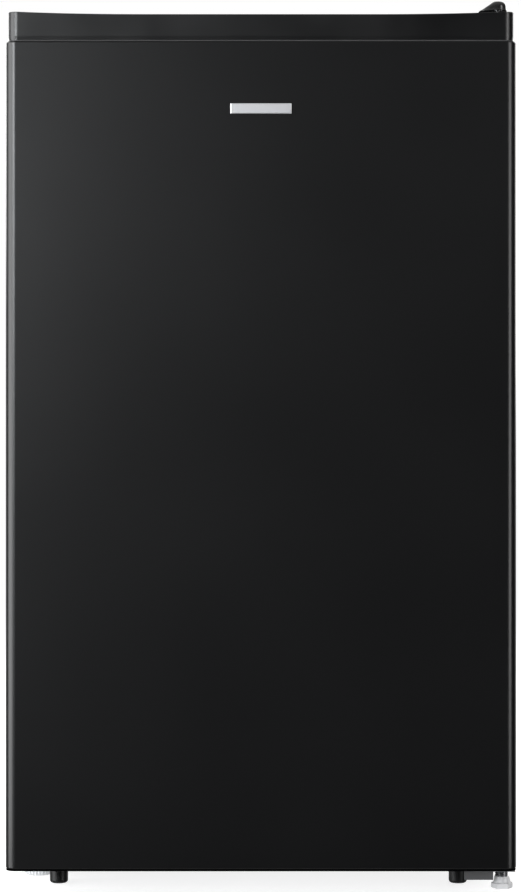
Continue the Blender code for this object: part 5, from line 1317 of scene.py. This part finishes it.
class FRIDGE_OT_stage(bpy.types.Operator):
    """Makes the floor, the backdrop, the soft lights, the surroundings and the camera"""

    bl_idname = "fridge.stage"
    bl_label = "Stage"

    def execute(self, context):
        values = context.scene.fridge_stage
        front = CAD_BOX[0][1] + 0.0015
        self.make_floor()
        self.make_surroundings()
        middle = (0.0, 0.0, 0.42)
        self.add_light("key", (-2.45, -4.60, 1.58), middle, (1.4, 1.4), values.key, (0.95, 0.98, 1.0))
        self.add_light("left_strip", (-1.32, -0.72, 0.62), (0.0, -0.2, 0.45), (1.20, 1.7), values.left_strip,
                       (0.98, 0.99, 1.0))
        self.add_light("right_strip", (1.15, -1.08, 0.62), (0.2, -0.2, 0.42), (0.42, 1.7), values.right_strip,
                       (1.0, 1.0, 1.0))
        self.add_light("back_left", (-1.6, 1.9, 1.5), middle, (1.4, 1.4), values.back, (1.0, 1.0, 1.0))
        self.add_light("back_right", (1.6, 1.9, 1.2), middle, (1.4, 1.4), values.back * 0.8, (1.0, 1.0, 1.0))
        camera = bpy.data.cameras.new("camera")
        camera.lens = values.lens
        camera.sensor_width = 36.0
        camera.clip_end = 60.0
        holder = bpy.data.objects.new("camera", camera)
        holder.location = (-0.0004, front - values.camera_distance, values.camera_height)
        holder.rotation_euler = (math.pi / 2, 0.0, 0.0)
        context.scene.collection.objects.link(holder)
        context.scene.camera = holder
        context.scene.view_settings.view_transform = "Standard"
        return {"FINISHED"}

    def make_floor(self):
        """A wide pale disc that takes shadows, and a pale dome that only the camera sees."""
        material = new_look("pale_floor", (0.45, 0.45, 0.45), 0.9)
        shader = material.node_tree.nodes["Principled BSDF"]
        shader.inputs["Emission Color"].default_value = (1.0, 1.0, 1.0, 1.0)
        shader.inputs["Emission Strength"].default_value = 0.80
        vary(material, "Roughness", noise_on(material, 2.0), 0.85, 0.95)
        disc = turned([(0.0, 0.0), (14.0, 0.0), (14.0, -0.02), (0.0, -0.02)], (0.0, 0.0, -0.0004), steps=96)
        floor = self.add_stage("floor", [skin(disc)], material)
        floor.visible_glossy = False
        glow = bpy.data.materials.new("pale_backdrop")
        glow.use_nodes = True
        tree = glow.node_tree
        tree.nodes.clear()
        light = tree.nodes.new("ShaderNodeEmission")
        light.inputs["Color"].default_value = (1.0, 1.0, 1.0, 1.0)
        light.inputs["Strength"].default_value = 1.0
        output = tree.nodes.new("ShaderNodeOutputMaterial")
        tree.links.new(light.outputs["Emission"], output.inputs["Surface"])
        dome = turned(arc((0.0, 0.0), 13.5, -2, 90, 24), (0.0, 0.0, 0.0), steps=96)
        backdrop = self.add_stage("backdrop", [skin(dome, "open")], glow)
        for ray in ("visible_diffuse", "visible_glossy", "visible_transmission", "visible_shadow"):
            setattr(backdrop, ray, False)

    def add_stage(self, name, shapes, material):
        mesh = mesh_of(name, shapes)
        mesh.shade_smooth()
        mesh.materials.append(material)
        obj = bpy.data.objects.new(name, mesh)
        bpy.context.scene.collection.objects.link(obj)
        return obj

    def make_surroundings(self):
        """Light from overhead, from behind and from the pale floor below, and none from straight ahead."""
        world = bpy.data.worlds.new("studio")
        bpy.context.scene.world = world
        world.use_nodes = True
        tree = world.node_tree
        place = tree.nodes.new("ShaderNodeTexCoord")
        split = tree.nodes.new("ShaderNodeSeparateXYZ")
        tree.links.new(place.outputs["Generated"], split.inputs["Vector"])
        bands = (("Z", 0.45, 0.98, 0.55), ("Z", -0.7, -0.95, 0.9), ("Y", 0.2, 0.9, 0.5))
        levels = []
        for axis, start, end, strength in bands:
            level = tree.nodes.new("ShaderNodeMapRange")
            level.interpolation_type = "SMOOTHSTEP"
            level.inputs["From Min"].default_value = start
            level.inputs["From Max"].default_value = end
            level.inputs["To Min"].default_value = 0.0
            level.inputs["To Max"].default_value = strength
            tree.links.new(split.outputs[axis], level.inputs["Value"])
            levels.append(level.outputs["Result"])
        total = levels[0]
        for level in levels[1:]:
            add = tree.nodes.new("ShaderNodeMath")
            tree.links.new(total, add.inputs[0])
            tree.links.new(level, add.inputs[1])
            total = add.outputs["Value"]
        tree.links.new(total, tree.nodes["Background"].inputs["Strength"])
        tree.nodes["Background"].inputs["Color"].default_value = (1.0, 1.0, 1.0, 1.0)

    def add_light(self, name, location, target, size, power, color):
        lamp = bpy.data.lights.new(name, "AREA")
        lamp.shape = "RECTANGLE"
        lamp.size, lamp.size_y = size
        lamp.energy = power
        lamp.color = color
        holder = bpy.data.objects.new(name, lamp)
        holder.location = location
        aim = np.asarray(target) - np.asarray(location)
        level = math.hypot(aim[0], aim[1])
        holder.rotation_euler = (math.atan2(level, -aim[2]), 0.0, math.atan2(aim[1], aim[0]) - math.pi / 2)
        holder.visible_camera = False
        bpy.context.scene.collection.objects.link(holder)


OPERATORS = (
    FRIDGE_OT_finishes,
    FRIDGE_OT_door_panel,
    FRIDGE_OT_door_inside,
    FRIDGE_OT_cabinet,
    FRIDGE_OT_shelves,
    FRIDGE_OT_ice_box,
    FRIDGE_OT_thermostat,
    FRIDGE_OT_feet,
    FRIDGE_OT_hinges,
    FRIDGE_OT_machine_bay,
    FRIDGE_OT_condenser,
    FRIDGE_OT_stage,
)


class FRIDGE_PT_panel(bpy.types.Panel):
    """Lists the operators and the settings"""

    bl_label = "Fridge"
    bl_idname = "FRIDGE_PT_panel"
    bl_space_type = "VIEW_3D"
    bl_region_type = "UI"
    bl_category = "Fridge"

    def draw(self, context):
        for group in (context.scene.fridge_colors, context.scene.fridge_sizes, context.scene.fridge_stage):
            column = self.layout.column()
            for name in group.__annotations__:
                column.prop(group, name)
        for operator in OPERATORS:
            self.layout.operator(operator.bl_idname)


CLASSES = (FridgeColors, FridgeSizes, FridgeStage, *OPERATORS, FRIDGE_PT_panel)


def register():
    for item in CLASSES:
        bpy.utils.register_class(item)
    bpy.types.Scene.fridge_colors = PointerProperty(type=FridgeColors)
    bpy.types.Scene.fridge_sizes = PointerProperty(type=FridgeSizes)
    bpy.types.Scene.fridge_stage = PointerProperty(type=FridgeStage)


def unregister():
    del bpy.types.Scene.fridge_stage
    del bpy.types.Scene.fridge_sizes
    del bpy.types.Scene.fridge_colors
    for item in reversed(CLASSES):
        bpy.utils.unregister_class(item)


def main():
    """Builds everything."""
    register()
    for operator in OPERATORS:
        group, name = operator.bl_idname.split(".")
        getattr(getattr(bpy.ops, group), name)()


if __name__ == "__main__":
    main()
